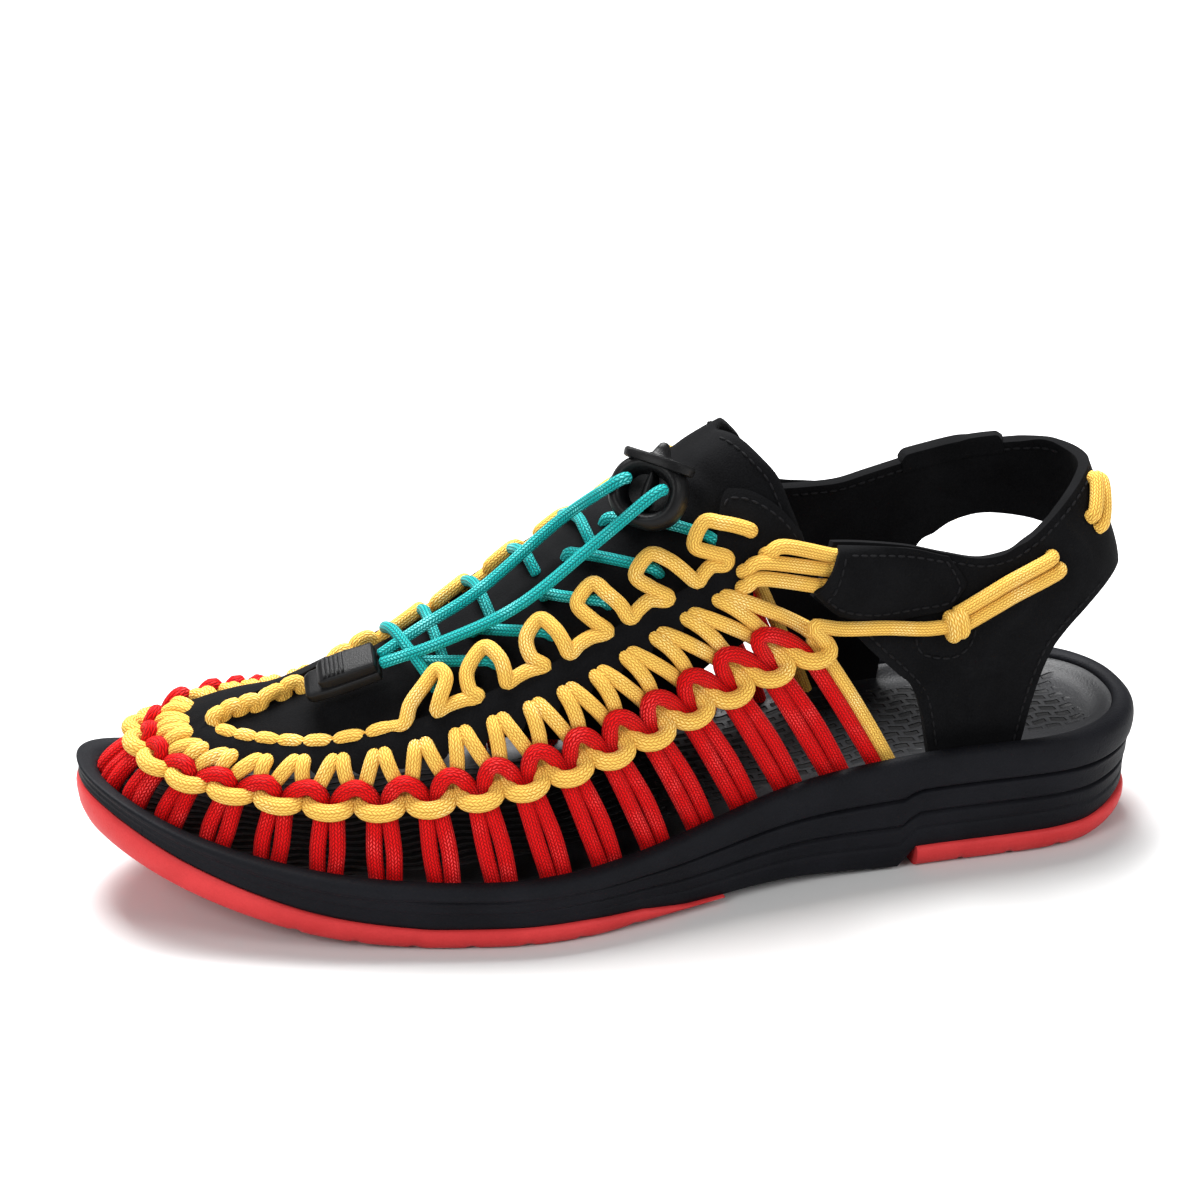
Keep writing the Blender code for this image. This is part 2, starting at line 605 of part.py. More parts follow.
# Heel lash: a cord from the chain's end along the strap to a knot, then doubled up to the strap's slot.
LASH_COLUMNS = ("station", "level", "radius")
LASH = (
    (86.0, 66.8, 1.95), (76.0, 66.8, 1.95), (65.0, 65.6, 1.95), (62.5, 65.5, 2.9), (60.0, 66.0, 2.9),
    (57.0, 67.5, 2.4), (46.0, 73.0, 2.4), (35.0, 79.0, 2.4),
)
LASH_LIFT = STRAP_HALF + GAP + 0.2
for name, side in (("heel_lash_lateral", 1), ("heel_lash_medial", -1)):
    chain_end = side * (ARC_SHARE[side] * float(smooth(RIBS, 2, RIB_COUNT + HALF)) + CORD / 2 + GAP + 0.4)
    knots = [upper(chain_end, 0.235, 1.2), upper(chain_end + side * 3.0, 0.245, 2.6)]
    knots += [strap_point(station, side, level, LASH_LIFT + radius) for station, level, radius in LASH]
    radii = [CORD / 2, CORD / 2] + [r[2] for r in LASH]
    steps = np.linspace(0, len(knots) - 1, 2 * len(knots) - 1)
    add(name, *tube(through(knots, 2), np.interp(steps, range(len(knots)), radii), 5), YELLOW_CORD)
back_loop = [strap_point(9.0, 1, level, STRAP_HALF + GAP + 2.0) for level in (80.0, 84.5, 89.0, 93.0)]
add("heel_lash_back", *tube(back_loop, 2.3, 6), YELLOW_CORD)

# Lace: bars across the tongue from loop to loop in one run, passing under the loops, with a turn in each loop.
BAR_COLUMNS = ("station", "rise", "height at the loop")
BARS = (
    (197.5, 0.615, 1.9), (184.0, 0.61, 1.9), (169.5, 0.605, 1.9), (154.5, 0.60, 1.9), (140.5, 0.615, 2.1),
    (126.0, 0.585, 5.0),
)
TURN = 1.9
LACE_HEIGHT = TONGUE_HIGH + GAP + LACE / 2 + 0.1
knots = []
for number, (station, rise, height) in enumerate(BARS):
    if number:
        knots.append(on_upper(station + TURN * 2, 1, rise - 0.012, height))
    for share in np.linspace(-1, 1, 7):
        side = 1 if share < 0 else -1
        lift = height if abs(share) > 0.6 else LACE_HEIGHT
        knots.append(on_upper(station + TURN, side, 1 - abs(share) * (1 - rise), lift))
    if number + 1 < len(BARS):
        following, rise_next, height_next = BARS[number + 1]
        knots.append(on_upper(station, -1, rise - 0.02, height))
        for share in np.linspace(-1, 1, 7):
            side = -1 if share < 0 else 1
            part = (share + 1) / 2
            at = (station - TURN) * (1 - part) + (following + TURN * 3) * part
            ends = rise * (1 - part) + rise_next * part
            lift = (height_next if part > 0.8 else LACE_HEIGHT)
            knots.append(on_upper(at, side, 1 - abs(share) * (1 - ends), lift))
add("lace_bars", *tube(knots, LACE / 2, 5), TEAL_LACE)

# Lace tails: two strands from the cord lock's holes to the end clip, free above the bars.
LOCK_AT = np.array([-2.7, 19.9, 108.3])
HOLE_AXIS = np.array([0.50, 0.75, 0.43]) / np.linalg.norm((0.50, 0.75, 0.43))
BUTTON_AXIS = np.array([-0.414, -0.247, 0.871])
BUTTON_AXIS -= HOLE_AXIS * np.dot(BUTTON_AXIS, HOLE_AXIS)
BUTTON_AXIS /= np.linalg.norm(BUTTON_AXIS)
LOCK_SIDE = np.cross(BUTTON_AXIS, HOLE_AXIS)
LOCK_DEPTH, LOCK_WIDTH, LOCK_HEIGHT = 10.0, 20.0, 16.0
HOLE_SPACING, HOLE_RADIUS = 10.0, 1.9
CLIP_AT = np.array([76.4, 13.4, 64.3])
CLIP_AXIS = np.array([0.90, -0.25, -0.34]) / np.linalg.norm((0.90, -0.25, -0.34))
CLIP_NORMAL = np.array([0.40, 0.27, 0.88])
CLIP_NORMAL -= CLIP_AXIS * np.dot(CLIP_NORMAL, CLIP_AXIS)
CLIP_NORMAL /= np.linalg.norm(CLIP_NORMAL)
CLIP_ACROSS = np.cross(CLIP_NORMAL, CLIP_AXIS)
CLIP_LENGTH, CLIP_WIDTH, CLIP_HEIGHT = 20.0, 11.0, 6.0
TAILS = (
    ("lace_tail_lateral", 1, ((12.0, 23.0, 96.4), (32.6, 23.2, 81.5), (52.4, 20.6, 72.6))),
    ("lace_tail_medial", -1, ((18.0, 8.6, 97.4), (40.0, 12.4, 82.4), (55.9, 13.4, 74.2))),
)
for name, side, middle in TAILS:
    hole = LOCK_AT + LOCK_SIDE * side * HOLE_SPACING / 2
    start = [hole + HOLE_AXIS * (LOCK_DEPTH / 2 + reach) for reach in (GAP + 0.1, 2.2, 4.0)]
    start[2] = start[2] * 0.8 + np.array(middle[0]) * 0.2
    stop = CLIP_AT - CLIP_AXIS * (CLIP_LENGTH / 2 + GAP) + CLIP_ACROSS * side * 2.4 * np.sign(CLIP_ACROSS[1])
    add(name, *tube(through(start + list(middle) + [stop], 3), LACE / 2, 6), TEAL_LACE)


def boxed(centre, axes, profile):
    """Body lofted along axes[2]: each row of profile is half width, half depth and place along the axis."""
    rings = []
    for wide, deep, at in profile:
        angle = np.linspace(0, 2 * np.pi, 16, endpoint=False)
        a, b = np.cos(angle), np.sin(angle)
        round_x, round_y = np.sign(a) * abs(a) ** 0.7, np.sign(b) * abs(b) ** 0.7
        rings.append([centre + axes[0] * x * wide + axes[1] * y * deep + axes[2] * at for x, y in zip(round_x, round_y)])
    count = len(rings[0])
    faces = [tuple(range(count)), tuple((len(rings) - 1) * count + i for i in range(count))]
    for level in range(len(rings) - 1):
        for i in range(count):
            j = (i + 1) % count
            faces.append((level * count + i, level * count + j, level * count + count + j, level * count + count + i))
    return [p for ring in rings for p in ring], faces


# Cord lock: a barrel with two cord holes and a press button on top.
LOCK_AXES = (LOCK_SIDE, HOLE_AXIS, BUTTON_AXIS)
half = LOCK_HEIGHT / 2
body_profile = (
    (LOCK_WIDTH * 0.36, LOCK_DEPTH * 0.36, -half), (LOCK_WIDTH * 0.47, LOCK_DEPTH * 0.47, -half + 2.5),
    (LOCK_WIDTH * 0.5, LOCK_DEPTH * 0.5, 0.0), (LOCK_WIDTH * 0.46, LOCK_DEPTH * 0.5, half - 2.0),
    (LOCK_WIDTH * 0.42, LOCK_DEPTH * 0.46, half),
)
body = add("cord_lock_body", *boxed(LOCK_AT, LOCK_AXES, body_profile), BLACK_PLASTIC)
for side in (1, -1):
    middle = LOCK_AT + LOCK_SIDE * side * HOLE_SPACING / 2
    path = [middle + HOLE_AXIS * reach for reach in (-LOCK_DEPTH, 0.0, LOCK_DEPTH)]
    cutter = add("hole_cutter_%s" % ("lateral" if side > 0 else "medial"), *tube(path, HOLE_RADIUS, 10), BLACK_PLASTIC)
    cutter.hide_render = True
    cutter.display_type = "WIRE"
    cut = body.modifiers.new("hole", "BOOLEAN")
    cut.operation = "DIFFERENCE"
    cut.solver = "EXACT"
    cut.object = cutter
button_profile = (
    (7.4, 4.0, half + GAP), (8.0, 4.6, half + 1.0), (8.0, 4.6, half + 3.2), (7.0, 3.8, half + 4.2),
    (2.0, 1.8, half + 4.4), (1.6, 1.4, half + 6.0),
)
add("cord_lock_button", *boxed(LOCK_AT, LOCK_AXES, button_profile), BLACK_PLASTIC)

# Lace end clip: a flat plastic grip that closes on both tails.
CLIP_AXES = (CLIP_ACROSS, CLIP_NORMAL, CLIP_AXIS)
clip_profile = (
    (CLIP_WIDTH * 0.42, CLIP_HEIGHT * 0.40, -CLIP_LENGTH / 2), (CLIP_WIDTH * 0.5, CLIP_HEIGHT * 0.5, -CLIP_LENGTH / 2 + 1.5),
    (CLIP_WIDTH * 0.5, CLIP_HEIGHT * 0.5, CLIP_LENGTH / 2 - 5.0), (CLIP_WIDTH * 0.40, CLIP_HEIGHT * 0.34, CLIP_LENGTH / 2),
)
add("lace_clip", *boxed(CLIP_AT, CLIP_AXES, clip_profile), BLACK_PLASTIC)
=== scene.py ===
"""Looks of the woven cord sandal for the left foot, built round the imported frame.

Frame: +X to the toe, +Y to the lateral side, +Z up, floor at z = 0. Sizes are in millimetres and become
metres when a mesh is put in. "Station" is the distance along the shoe from the back of the heel. "Arc" is the
length along the upper's lower edge from the toe tip, lateral above zero and medial below, and "rise" is the
share of the way from that edge to the ridge of the last.
"""

import bpy
import numpy as np
from mathutils import Matrix, Vector


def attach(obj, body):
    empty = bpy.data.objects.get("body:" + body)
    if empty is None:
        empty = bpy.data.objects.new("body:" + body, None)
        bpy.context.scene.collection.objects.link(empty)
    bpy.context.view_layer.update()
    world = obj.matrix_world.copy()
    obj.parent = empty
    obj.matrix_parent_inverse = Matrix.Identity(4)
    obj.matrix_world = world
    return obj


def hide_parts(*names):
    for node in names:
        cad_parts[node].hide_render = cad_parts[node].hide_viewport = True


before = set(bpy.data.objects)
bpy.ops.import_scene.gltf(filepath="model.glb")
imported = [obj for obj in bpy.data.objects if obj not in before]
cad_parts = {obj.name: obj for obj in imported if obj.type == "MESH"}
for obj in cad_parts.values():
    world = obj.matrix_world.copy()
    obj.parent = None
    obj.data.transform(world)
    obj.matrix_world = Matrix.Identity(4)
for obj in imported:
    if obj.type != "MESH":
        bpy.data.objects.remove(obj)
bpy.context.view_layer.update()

# Midsole: one block of moulded black foam rubber, glued on the tread pads. Stacked bands parted by grooves
# run round its side, the top is a rounded lip, and the cords are moulded in along the inside of the lip.
MM = 0.001
LENGTH = 285.0
# Columns: station, lateral half width, medial half width.
OUTLINE = (
    (0, 34.0, 33.0), (35, 37.0, 34.0), (75, 37.5, 34.0), (110, 40.5, 33.0), (130, 44.8, 35.5),
    (148, 50.2, 39.5), (165, 53.5, 43.5), (180, 53.8, 47.0), (195, 51.2, 50.3), (210, 47.8, 52.0),
    (228, 44.0, 51.3), (245, 41.0, 49.5), (285, 39.0, 44.0),
)
# Columns: station, y of the middle line.
AXIS = ((0, 0.0), (150, 0.0), (200, 0.0), (245, -3.5), (285, -11.0))
HEEL_ROUND, HEEL_POWER = 34.0, 2.3
TOE_ROUND, TOE_POWER, TOE_LEAN = 72.0, 2.15, 2.4
# Columns: station, ground, rim, footbed.
SOLE = (
    (0, 3.5, 33.0, 29.0), (22, 0.0, 32.5, 28.2), (75, 0.0, 32.0, 27.2), (105, 2.0, 29.2, 24.6),
    (135, 1.5, 23.2, 19.4), (165, 0.0, 19.3, 15.9), (205, 0.0, 18.7, 15.7), (235, 3.4, 21.9, 18.4),
    (262, 12.0, 28.4, 25.0), (285, 23.4, 37.4, 34.6),
)
# Columns: station, thickness of the tread under the foam.
SEAT = (
    (0, 6.4), (71.5, 6.2), (75.5, 1.0), (128, 1.0), (137, 1.6), (150, 4.4), (165, 5.6), (205, 5.9),
    (235, 7.2), (262, 8.8), (285, 10.6),
)
# Columns: share of height, inset.
SIDE = (
    (0.00, 3.0), (0.06, 2.4), (0.14, 2.2), (0.33, 1.9), (0.40, 1.6), (0.60, 1.0), (0.66, 0.5), (0.74, 0.1),
    (0.86, 0.0), (0.93, 0.35), (0.98, 1.2), (1.00, 2.0),
)
# Columns: share of height, depth, half width.
GROOVES = ((0.20, 0.35, 0.022), (0.37, 1.15, 0.020), (0.635, 1.55, 0.020))
# Columns: station, share of the depth.
GROOVE_FADE = ((0, 1.0), (120, 1.0), (150, 0.6), (175, 0.12), (285, 0.0))
SLOT_AT, SLOT_HALF, SLOT_SHARE, SLOT_HALF_SHARE, SLOT_DEPTH = 196.0, 15.0, 0.66, 0.035, 0.55
LIP_WIDTH, CHANNEL_DEPTH = 5.4, 4.0
RING_COUNT = 150


def hermite(first, second, leaving, arriving, q):
    """Cubic from first to second at the share q of the way, with the slopes leaving and arriving."""
    start = (1 + 2 * q) * (1 - q) ** 2 * first + q * (1 - q) ** 2 * leaving
    return start + q * q * (3 - 2 * q) * second + q * q * (q - 1) * arriving


def smooth(table, column, at):
    """Cubic curve through the rows of a table, with slopes from the neighbouring rows."""
    rows = np.asarray(table, float)
    x, y = rows[:, 0], rows[:, column]
    slope = np.gradient(y, x)
    at = np.clip(np.asarray(at, float), x[0], x[-1])
    i = np.clip(np.searchsorted(x, at, side="right") - 1, 0, len(x) - 2)
    step = x[i + 1] - x[i]
    return hermite(y[i], y[i + 1], step * slope[i], step * slope[i + 1], (at - x[i]) / step)


def linear(table, at):
    """Straight lines through the rows of a two-column table."""
    rows = np.asarray(table, float)
    return np.interp(at, rows[:, 0], rows[:, 1])


def ramp(at, start, stop):
    """0 before start, 1 beyond stop and a straight line between; start may be the larger."""
    return np.clip((at - start) / (stop - start), 0, 1)


def eased(share):
    """0 to 1 with level ends: three squares less two cubes."""
    return share * share * (3 - 2 * share)


def rounded(share, power):
    """Super-ellipse that falls from 1 at share 0 to 0 at share 1."""
    return (1 - share ** power) ** (1 / power)


def edge(station, side, inset):
    """Y of the plan outline: half width less the inset, closed by super-ellipses at heel and toe."""
    heel = ramp(station - inset, HEEL_ROUND, 0.0)
    toe = ramp(LENGTH - inset - station, TOE_ROUND, 0.0)
    width = np.where(np.asarray(side) > 0, smooth(OUTLINE, 1, station), smooth(OUTLINE, 2, station)) - inset
    return smooth(AXIS, 1, station) + side * width * rounded(heel, HEEL_POWER) * rounded(toe, TOE_POWER)


def ground(station):
    """Level of the tread's underside, never below the floor."""
    return np.maximum(smooth(SOLE, 1, station), 0.0)


def seat(station):
    """Level of the foam's underside: the ground and the tread's thickness."""
    return ground(station) + linear(SEAT, station)


def rim(station):
    """Level of the lip's top."""
    return smooth(SOLE, 2, station)


def footbed(station):
    """Level of the footbed's middle."""
    return smooth(SOLE, 3, station)


RING_RUN = (1 - np.cos(np.linspace(0, np.pi, RING_COUNT))) / 2
RING_SHARE = np.concatenate([RING_RUN, RING_RUN[-2:0:-1]])
RING_SIDE = np.concatenate([np.ones(RING_COUNT), -np.ones(RING_COUNT - 2)])
SIDE_SHIFT = -0.5 * (edge(LENGTH * RING_RUN, 1, 0.0).max() + edge(LENGTH * RING_RUN, -1, 0.0).min())


def ring(inset, height, lean=TOE_LEAN):
    """Closed outline at an inset: lateral side to the toe, medial side back; height is a function of station.
    The tip is drawn back by the lean, which fades out along the last TOE_ROUND of the shoe."""
    station = inset + (LENGTH - 2 * inset) * RING_SHARE
    back = lean * ramp(station, LENGTH - TOE_ROUND, LENGTH) ** 2
    return np.stack([station - back - LENGTH / 2, edge(station, RING_SIDE, inset), height(station)], -1)


def grid_faces(rows, columns, closed):
    """Index quads of a grid of points; closed joins the last column to the first."""
    row = np.arange(rows - 1)[:, None] * columns
    here = np.arange(columns if closed else columns - 1)[None, :]
    there = (here + 1) % columns
    return np.stack([row + here, row + there, row + columns + there, row + columns + here], -1).reshape(-1, 4)


def across(start, flip):
    """Faces straight across a ring that begins at index start: a triangle at each tip and quads between."""
    count = 2 * RING_COUNT - 2
    i = np.arange(1, RING_COUNT - 2)
    quads = np.stack([i, i + 1, count - i - 1, count - i], -1)
    tips = [[0, 1, count - 1], [RING_COUNT - 2, RING_COUNT - 1, RING_COUNT]]
    faces = [[start + n for n in face] for face in quads.tolist() + tips]
    return [face[::-1] for face in faces] if flip else faces


def stacked(rings):
    """Closed body from rings, the first underneath and the last on top."""
    points = np.stack(rings)
    faces = grid_faces(len(rings), points.shape[1], True).tolist()
    last = (len(rings) - 1) * points.shape[1]
    return points.reshape(-1, 3), faces + across(0, True) + across(last, False)


def put(name, node, slot, finish, sharp, points, faces, corner_uv=None):
    """Mesh object at the origin from points in millimetres, shifted into the frame. It rides on the one body
    and stands in for a solid, under the finish given."""
    mesh = bpy.data.meshes.new(name)
    placed = (np.asarray(points, float).reshape(-1, 3) + (0.0, SIDE_SHIFT, 0.0)) * MM
    mesh.from_pydata(placed.tolist(), [], faces)
    if corner_uv is not None:
        layer = mesh.uv_layers.new(name="along")
        layer.data.foreach_set("uv", np.asarray(corner_uv, np.float32).ravel())
    mesh.polygons.foreach_set("use_smooth", np.ones(len(mesh.polygons), bool))
    mesh.set_sharp_from_angle(angle=np.radians(sharp))
    mesh.materials.append(finish)
    piece = bpy.data.objects.new(name, mesh)
    bpy.context.scene.collection.objects.link(piece)
    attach(piece, "root")
    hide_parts(node)
    return piece


class Field:
    """A value that varies over a surface. Arithmetic on it adds Math nodes; node() adds any other node."""

    def __init__(self, tree, socket=None):
        self.tree, self.socket = tree, socket

    def node(self, kind, settings=None, values=None, output=0):
        """Add a node: its settings come first, then each socket takes a number, a colour or another field."""
        made = self.tree.nodes.new(kind)
        for name, value in (settings or {}).items():
            setattr(made, name, value)
        for key, value in (values or {}).items():
            if isinstance(value, Field):
                self.tree.links.new(value.socket, made.inputs[key])
            else:
                made.inputs[key].default_value = value
        return Field(self.tree, made.outputs[output])

    def math(self, operation, *others):
        """Math node on this field and the others, in that order."""
        return self.node("ShaderNodeMath", {"operation": operation}, dict(enumerate((self,) + others)))

    def __add__(self, other):
        return self.math("ADD", other)

    def __sub__(self, other):
        return self.math("SUBTRACT", other)

    def __rsub__(self, other):
        return self.node("ShaderNodeMath", {"operation": "SUBTRACT"}, {0: other, 1: self})

    def __mul__(self, other):
        return self.math("MULTIPLY", other)

    def __truediv__(self, other):
        return self.math("DIVIDE", other)

    __radd__ = __add__
    __rmul__ = __mul__

    def mixed(self, low, high):
        """Colour between low and high by this field."""
        return self.node("ShaderNodeMix", {"data_type": "RGBA"}, {0: self, 6: low, 7: high}, 2)

    def clamped(self, low, high):
        """This field's run from low to high stretched to 0 to 1 with level ends, and held there."""
        settings = {"interpolation_type": "SMOOTHSTEP"}
        return self.node("ShaderNodeMapRange", settings, {0: self, 1: low, 2: high})

    def noise(self, scale, detail=2.0, roughness=0.5):
        """Noise on this vector field; scale is in features per metre."""
        values = {"Vector": self, "Scale": scale, "Detail": detail, "Roughness": roughness}
        return self.node("ShaderNodeTexNoise", None, values)


class Finish:
    """A Principled material: constants are set on its sockets, and fields feed colour, roughness and bump."""

    def __init__(self, name, constants):
        self.material = bpy.data.materials.new(name)
        self.material.use_nodes = True
        self.tree = self.material.node_tree
        self.shader = self.tree.nodes["Principled BSDF"]
        for key, value in constants.items():
            self.shader.inputs[key].default_value = value
        self.start = Field(self.tree)
        self.place = self.start.node("ShaderNodeTexCoord", None, None, 3)

    def split(self, vector):
        """The first two parts of a vector field."""
        return [vector.node("ShaderNodeSeparateXYZ", None, {0: vector}, n) for n in (0, 1)]

    def along(self):
        """The two coordinates of the piece's own UV map."""
        return self.split(self.start.node("ShaderNodeUVMap", {"uv_map": "along"}))

    def feed(self, socket, field):
        """Link a field to one of the shader's sockets."""
        self.tree.links.new(field.socket, self.shader.inputs[socket])

    def bump(self, height, distance):
        """Bump from a height field that spans the given distance in metres."""
        values = {"Height": height, "Distance": distance, "Strength": 1.0}
        self.feed("Normal", self.start.node("ShaderNodeBump", None, values))


def moulded_rubber(name, dark, pale, roughness, grain, shine):
    """Moulded rubber: fine pebbled skin, faint cloudy shade and a duller bloom here and there."""
    finish = Finish(name, {"Specular IOR Level": shine})
    cloud = finish.place.noise(55.0, 3.0)
    pebble = finish.place.noise(1900.0, 2.0, 0.6)
    speck = finish.place.noise(520.0, 2.0).clamped(0.62, 0.78)
    finish.feed("Base Color", (cloud * 0.75 + pebble * 0.25).clamped(0.25, 0.8).mixed(dark, pale))
    finish.feed("Roughness", cloud * 0.16 + speck * 0.10 + roughness)
    finish.bump(pebble * 0.7 + speck * 0.3, grain)
    return finish.material


BLACK_RUBBER = moulded_rubber(
    "black_rubber", (0.0042, 0.0045, 0.0062, 1), (0.0086, 0.0090, 0.0118, 1), 0.50, 0.00022, 0.08
)


def wall_inset(share):
    """Inset of the side wall round the ring: the side profile, each groove a bell that fades forward, and one
    short slot on the lateral side."""
    station = LENGTH * RING_SHARE
    inset = smooth(SIDE, 1, share) + np.zeros(len(station))
    for at, depth, half in GROOVES:
        inset = inset + depth * linear(GROOVE_FADE, station) * np.exp(-((share - at) / half) ** 2)
    slot = np.exp(-((station - SLOT_AT) / SLOT_HALF) ** 6 - ((share - SLOT_SHARE) / SLOT_HALF_SHARE) ** 4)
    return inset + SLOT_DEPTH * slot * (RING_SIDE > 0)


GROOVE_SHARES = [at + np.linspace(-0.05, 0.05, 9) for at, depth, half in GROOVES]
WALL_SHARES = np.unique(np.concatenate([np.linspace(0, 1, 40), *GROOVE_SHARES]))
CORE_INSETS, LIP_GAP = (30.5, 26.0, 20.0, 14.0, 9.0, 6.0), 0.1
# Columns: inset, drop from the rim.
LIP = ((2.7, -0.12), (3.4, -0.14), (4.1, -0.02), (4.7, 0.25), (5.15, 0.7), (LIP_WIDTH, 1.3))
midsole_rings = [ring(inset, seat, 0.0) for inset in CORE_INSETS]
for share in WALL_SHARES:
    lean = TOE_LEAN * eased(share)
    midsole_rings.append(ring(wall_inset(share), lambda s: seat(s) * (1 - share) + rim(s) * share, lean))
for inset, drop in LIP:
    midsole_rings.append(ring(inset, lambda s: rim(s) - drop))
for inset in (LIP_WIDTH + LIP_GAP,) + CORE_INSETS[::-1]:
    midsole_rings.append(ring(inset, lambda s: footbed(s) - CHANNEL_DEPTH))
put("midsole_foam", "midsole", "black_rubber", BLACK_RUBBER, 50.0, *stacked(midsole_rings))

# Tread pads: red rubber under the forefoot, wrapped up at the toe, and under the heel. They are pressed flat
# sheets glued under the foam, cut into lugs by cross grooves, with a rounded outer edge.
HEEL_PAD_FRONT, HEEL_LUG_START = 71.0, 15.0
FOREFOOT_PAD_REAR, FOREFOOT_LUG_START, FOREFOOT_LUG_END = 126.0, 137.0, 255.0
LUG_PITCH, LUG_GROOVE, LUG_SLOPE, LUG_DEPTH, LUG_BORDER = 14.0, 3.0, 0.7, 1.6, 12.0
PAD_GAP, LUG_AT_EDGE = 0.05, 0.3
# Columns: inset, share of thickness.
PAD_EDGE = (
    (5.6, 0.0), (4.5, 0.03), (3.5, 0.10), (2.7, 0.22), (2.1, 0.38), (1.75, 0.58), (1.7, 0.78), (1.95, 0.93),
    (2.5, 1.0),
)
PAD_CORE = (27.0, 22.0, 17.0, 12.0, 9.0)
PAD_COUNT = 220
RED_RUBBER = moulded_rubber(
    "red_rubber", (0.49, 0.030, 0.032, 1), (0.64, 0.048, 0.050, 1), 0.42, 0.00012, 0.12
)


def lug_cut(station, start, stop):
    """Depth cut from the underside: LUG_DEPTH in each cross groove with sloped walls, zero on the lugs."""
    at = (station - start) % LUG_PITCH
    inside = ramp(np.minimum(at, LUG_GROOVE - at), 0.0, LUG_SLOPE)
    return LUG_DEPTH * inside * ((station > start + LUG_PITCH - 1) & (station < stop - LUG_BORDER))


def tread_pad(name, cut, tip, start, stop):
    """Open rings from the straight cut along one side to the tip and back, stacked from the middle of the
    underside round the edge to the middle of the top, with the cut closed by one flat face."""
    run = np.linspace(0, 1, PAD_COUNT) ** 0.5 if tip > cut else 1 - (1 - np.linspace(0, 1, PAD_COUNT)) ** 2
    share = np.concatenate([run, run[-2::-1]])
    side = np.concatenate([np.ones(PAD_COUNT), -np.ones(PAD_COUNT - 1)])
    rings = []
    for inset, part in [(i, 0.0) for i in PAD_CORE] + list(PAD_EDGE) + [(i, 1.0) for i in PAD_CORE[::-1]]:
        end = LENGTH - inset if tip > cut else inset
        station = cut + (end - cut) * share
        low = ground(station) + lug_cut(station, start, stop) * (1.0 if inset in PAD_CORE else LUG_AT_EDGE)
        level = low * (1 - part) + (seat(station) - PAD_GAP) * part
        rings.append(np.stack([station - LENGTH / 2, edge(station, side, inset), level], -1))
    points = np.stack(rings)
    columns = points.shape[1]
    faces = grid_faces(len(rings), columns, False)
    count = (columns - 1) // 2
    i = np.arange(count - 1)
    bottom = np.stack([i, columns - 1 - i, columns - 2 - i, i + 1], -1)
    bottom = bottom.tolist() + [[count - 1, count + 1, count]]
    last = (len(rings) - 1) * columns
    top = [[last + n for n in reversed(face)] for face in bottom]
    rows = np.arange(len(rings)) * columns
    closing = [rows[::-1].tolist() + (rows + columns - 1).tolist()]
    faces = faces.tolist() + bottom + top + closing
    if tip < cut:
        faces = [face[::-1] for face in faces]
    put(name + "_tread", name, "red_rubber", RED_RUBBER, 45.0, points, faces)


tread_pad("outsole_forefoot", FOREFOOT_PAD_REAR, LENGTH, FOREFOOT_LUG_START, FOREFOOT_LUG_END)
tread_pad("outsole_heel", HEEL_PAD_FRONT, 0.0, HEEL_LUG_START, HEEL_PAD_FRONT)

# Footbed: the foam's own top, dished up to the lip all round. Short staggered ribs are moulded in its middle
# for grip, and the border and the heel's end are left smooth.
FOOTBED_EDGE = LIP_WIDTH + 0.15
FOOTBED_INSETS = (5.55, 6.2, 7.0, 8.0, 9.2, 10.6, 12.5, 15.0, 18.0, 22.0, 26.0, 30.5)
DISH, DISH_DROP, FOOTBED_GAP = 3.4, 1.5, 0.1
RIB_ROW, RIB_LENGTH, RIB_STEP = 0.0038, 0.0054, 0.0006


def ribbed_foam():
    """Footbed foam: rows of wavy grooves along the shoe, broken into staggered dashes under the heel. The
    grooves are dented by the bump and painted near black as shade.
    """
    finish = Finish("footbed_foam", {"Specular IOR Level": 0.22})
    x, y = finish.split(finish.place)
    wave = (x * (np.pi / RIB_LENGTH)).math("SINE") * (RIB_STEP / RIB_ROW)
    row = y / RIB_ROW + wave
    odd = (row.math("FLOOR") * 0.5).math("FRACT")
    across_rib = 1.0 - ((row.math("FRACT") - 0.5).math("ABSOLUTE") * 2.0).clamped(0.35, 0.75)
    along_rib = (((x / RIB_LENGTH + odd).math("FRACT") - 0.5).math("ABSOLUTE") * 2.0).clamped(0.62, 0.78)
    groove = across_rib * (1.0 - along_rib * (1.0 - x.clamped(-0.01, 0.01)))
    heel_end = (x + finish.place.noise(160.0) * 0.012).clamped(-0.122, -0.114)
    sides = 1.0 - (y.math("ABSOLUTE") - x * 0.07).clamped(0.0235, 0.0265)
    rib_grooves_and_shade = groove * heel_end * sides
    pebble = finish.place.noise(1700.0, 2.0)
    shade = (pebble * 0.4 + finish.place.noise(45.0) * 0.6).clamped(0.3, 0.75)
    smooth_skin = shade.mixed((0.008, 0.0085, 0.010, 1), (0.015, 0.0155, 0.018, 1))
    # Painted shade: the grooves take a near-black colour in place of the foam's skin.
    finish.feed("Base Color", rib_grooves_and_shade.mixed(smooth_skin, (0.0015, 0.0015, 0.002, 1)))
    finish.feed("Roughness", shade * 0.12 + rib_grooves_and_shade * 0.2 + 0.40)
    finish.bump(pebble * 0.08 - rib_grooves_and_shade, 0.0014)
    return finish.material


FOOTBED_FOAM = ribbed_foam()
footbed_rings = []
for inset in FOOTBED_INSETS[::-1]:
    footbed_rings.append(ring(inset, lambda s: footbed(s) - CHANNEL_DEPTH + FOOTBED_GAP))
for inset in FOOTBED_INSETS:
    dish = np.exp(-(max(inset - FOOTBED_EDGE, 0.0) / DISH) ** 2)
    footbed_rings.append(ring(inset, lambda s: footbed(s) + (rim(s) - footbed(s) - DISH_DROP) * dish))
put("footbed_top", "insole", "footbed_foam", FOOTBED_FOAM, 60.0, *stacked(footbed_rings))

# Red cord: round braided cord that rises in pairs from under the lip. Each cord goes up behind a yellow link,
# over the next two yellow legs in a bow, and down again behind the following link.
FEATHER = 8.3
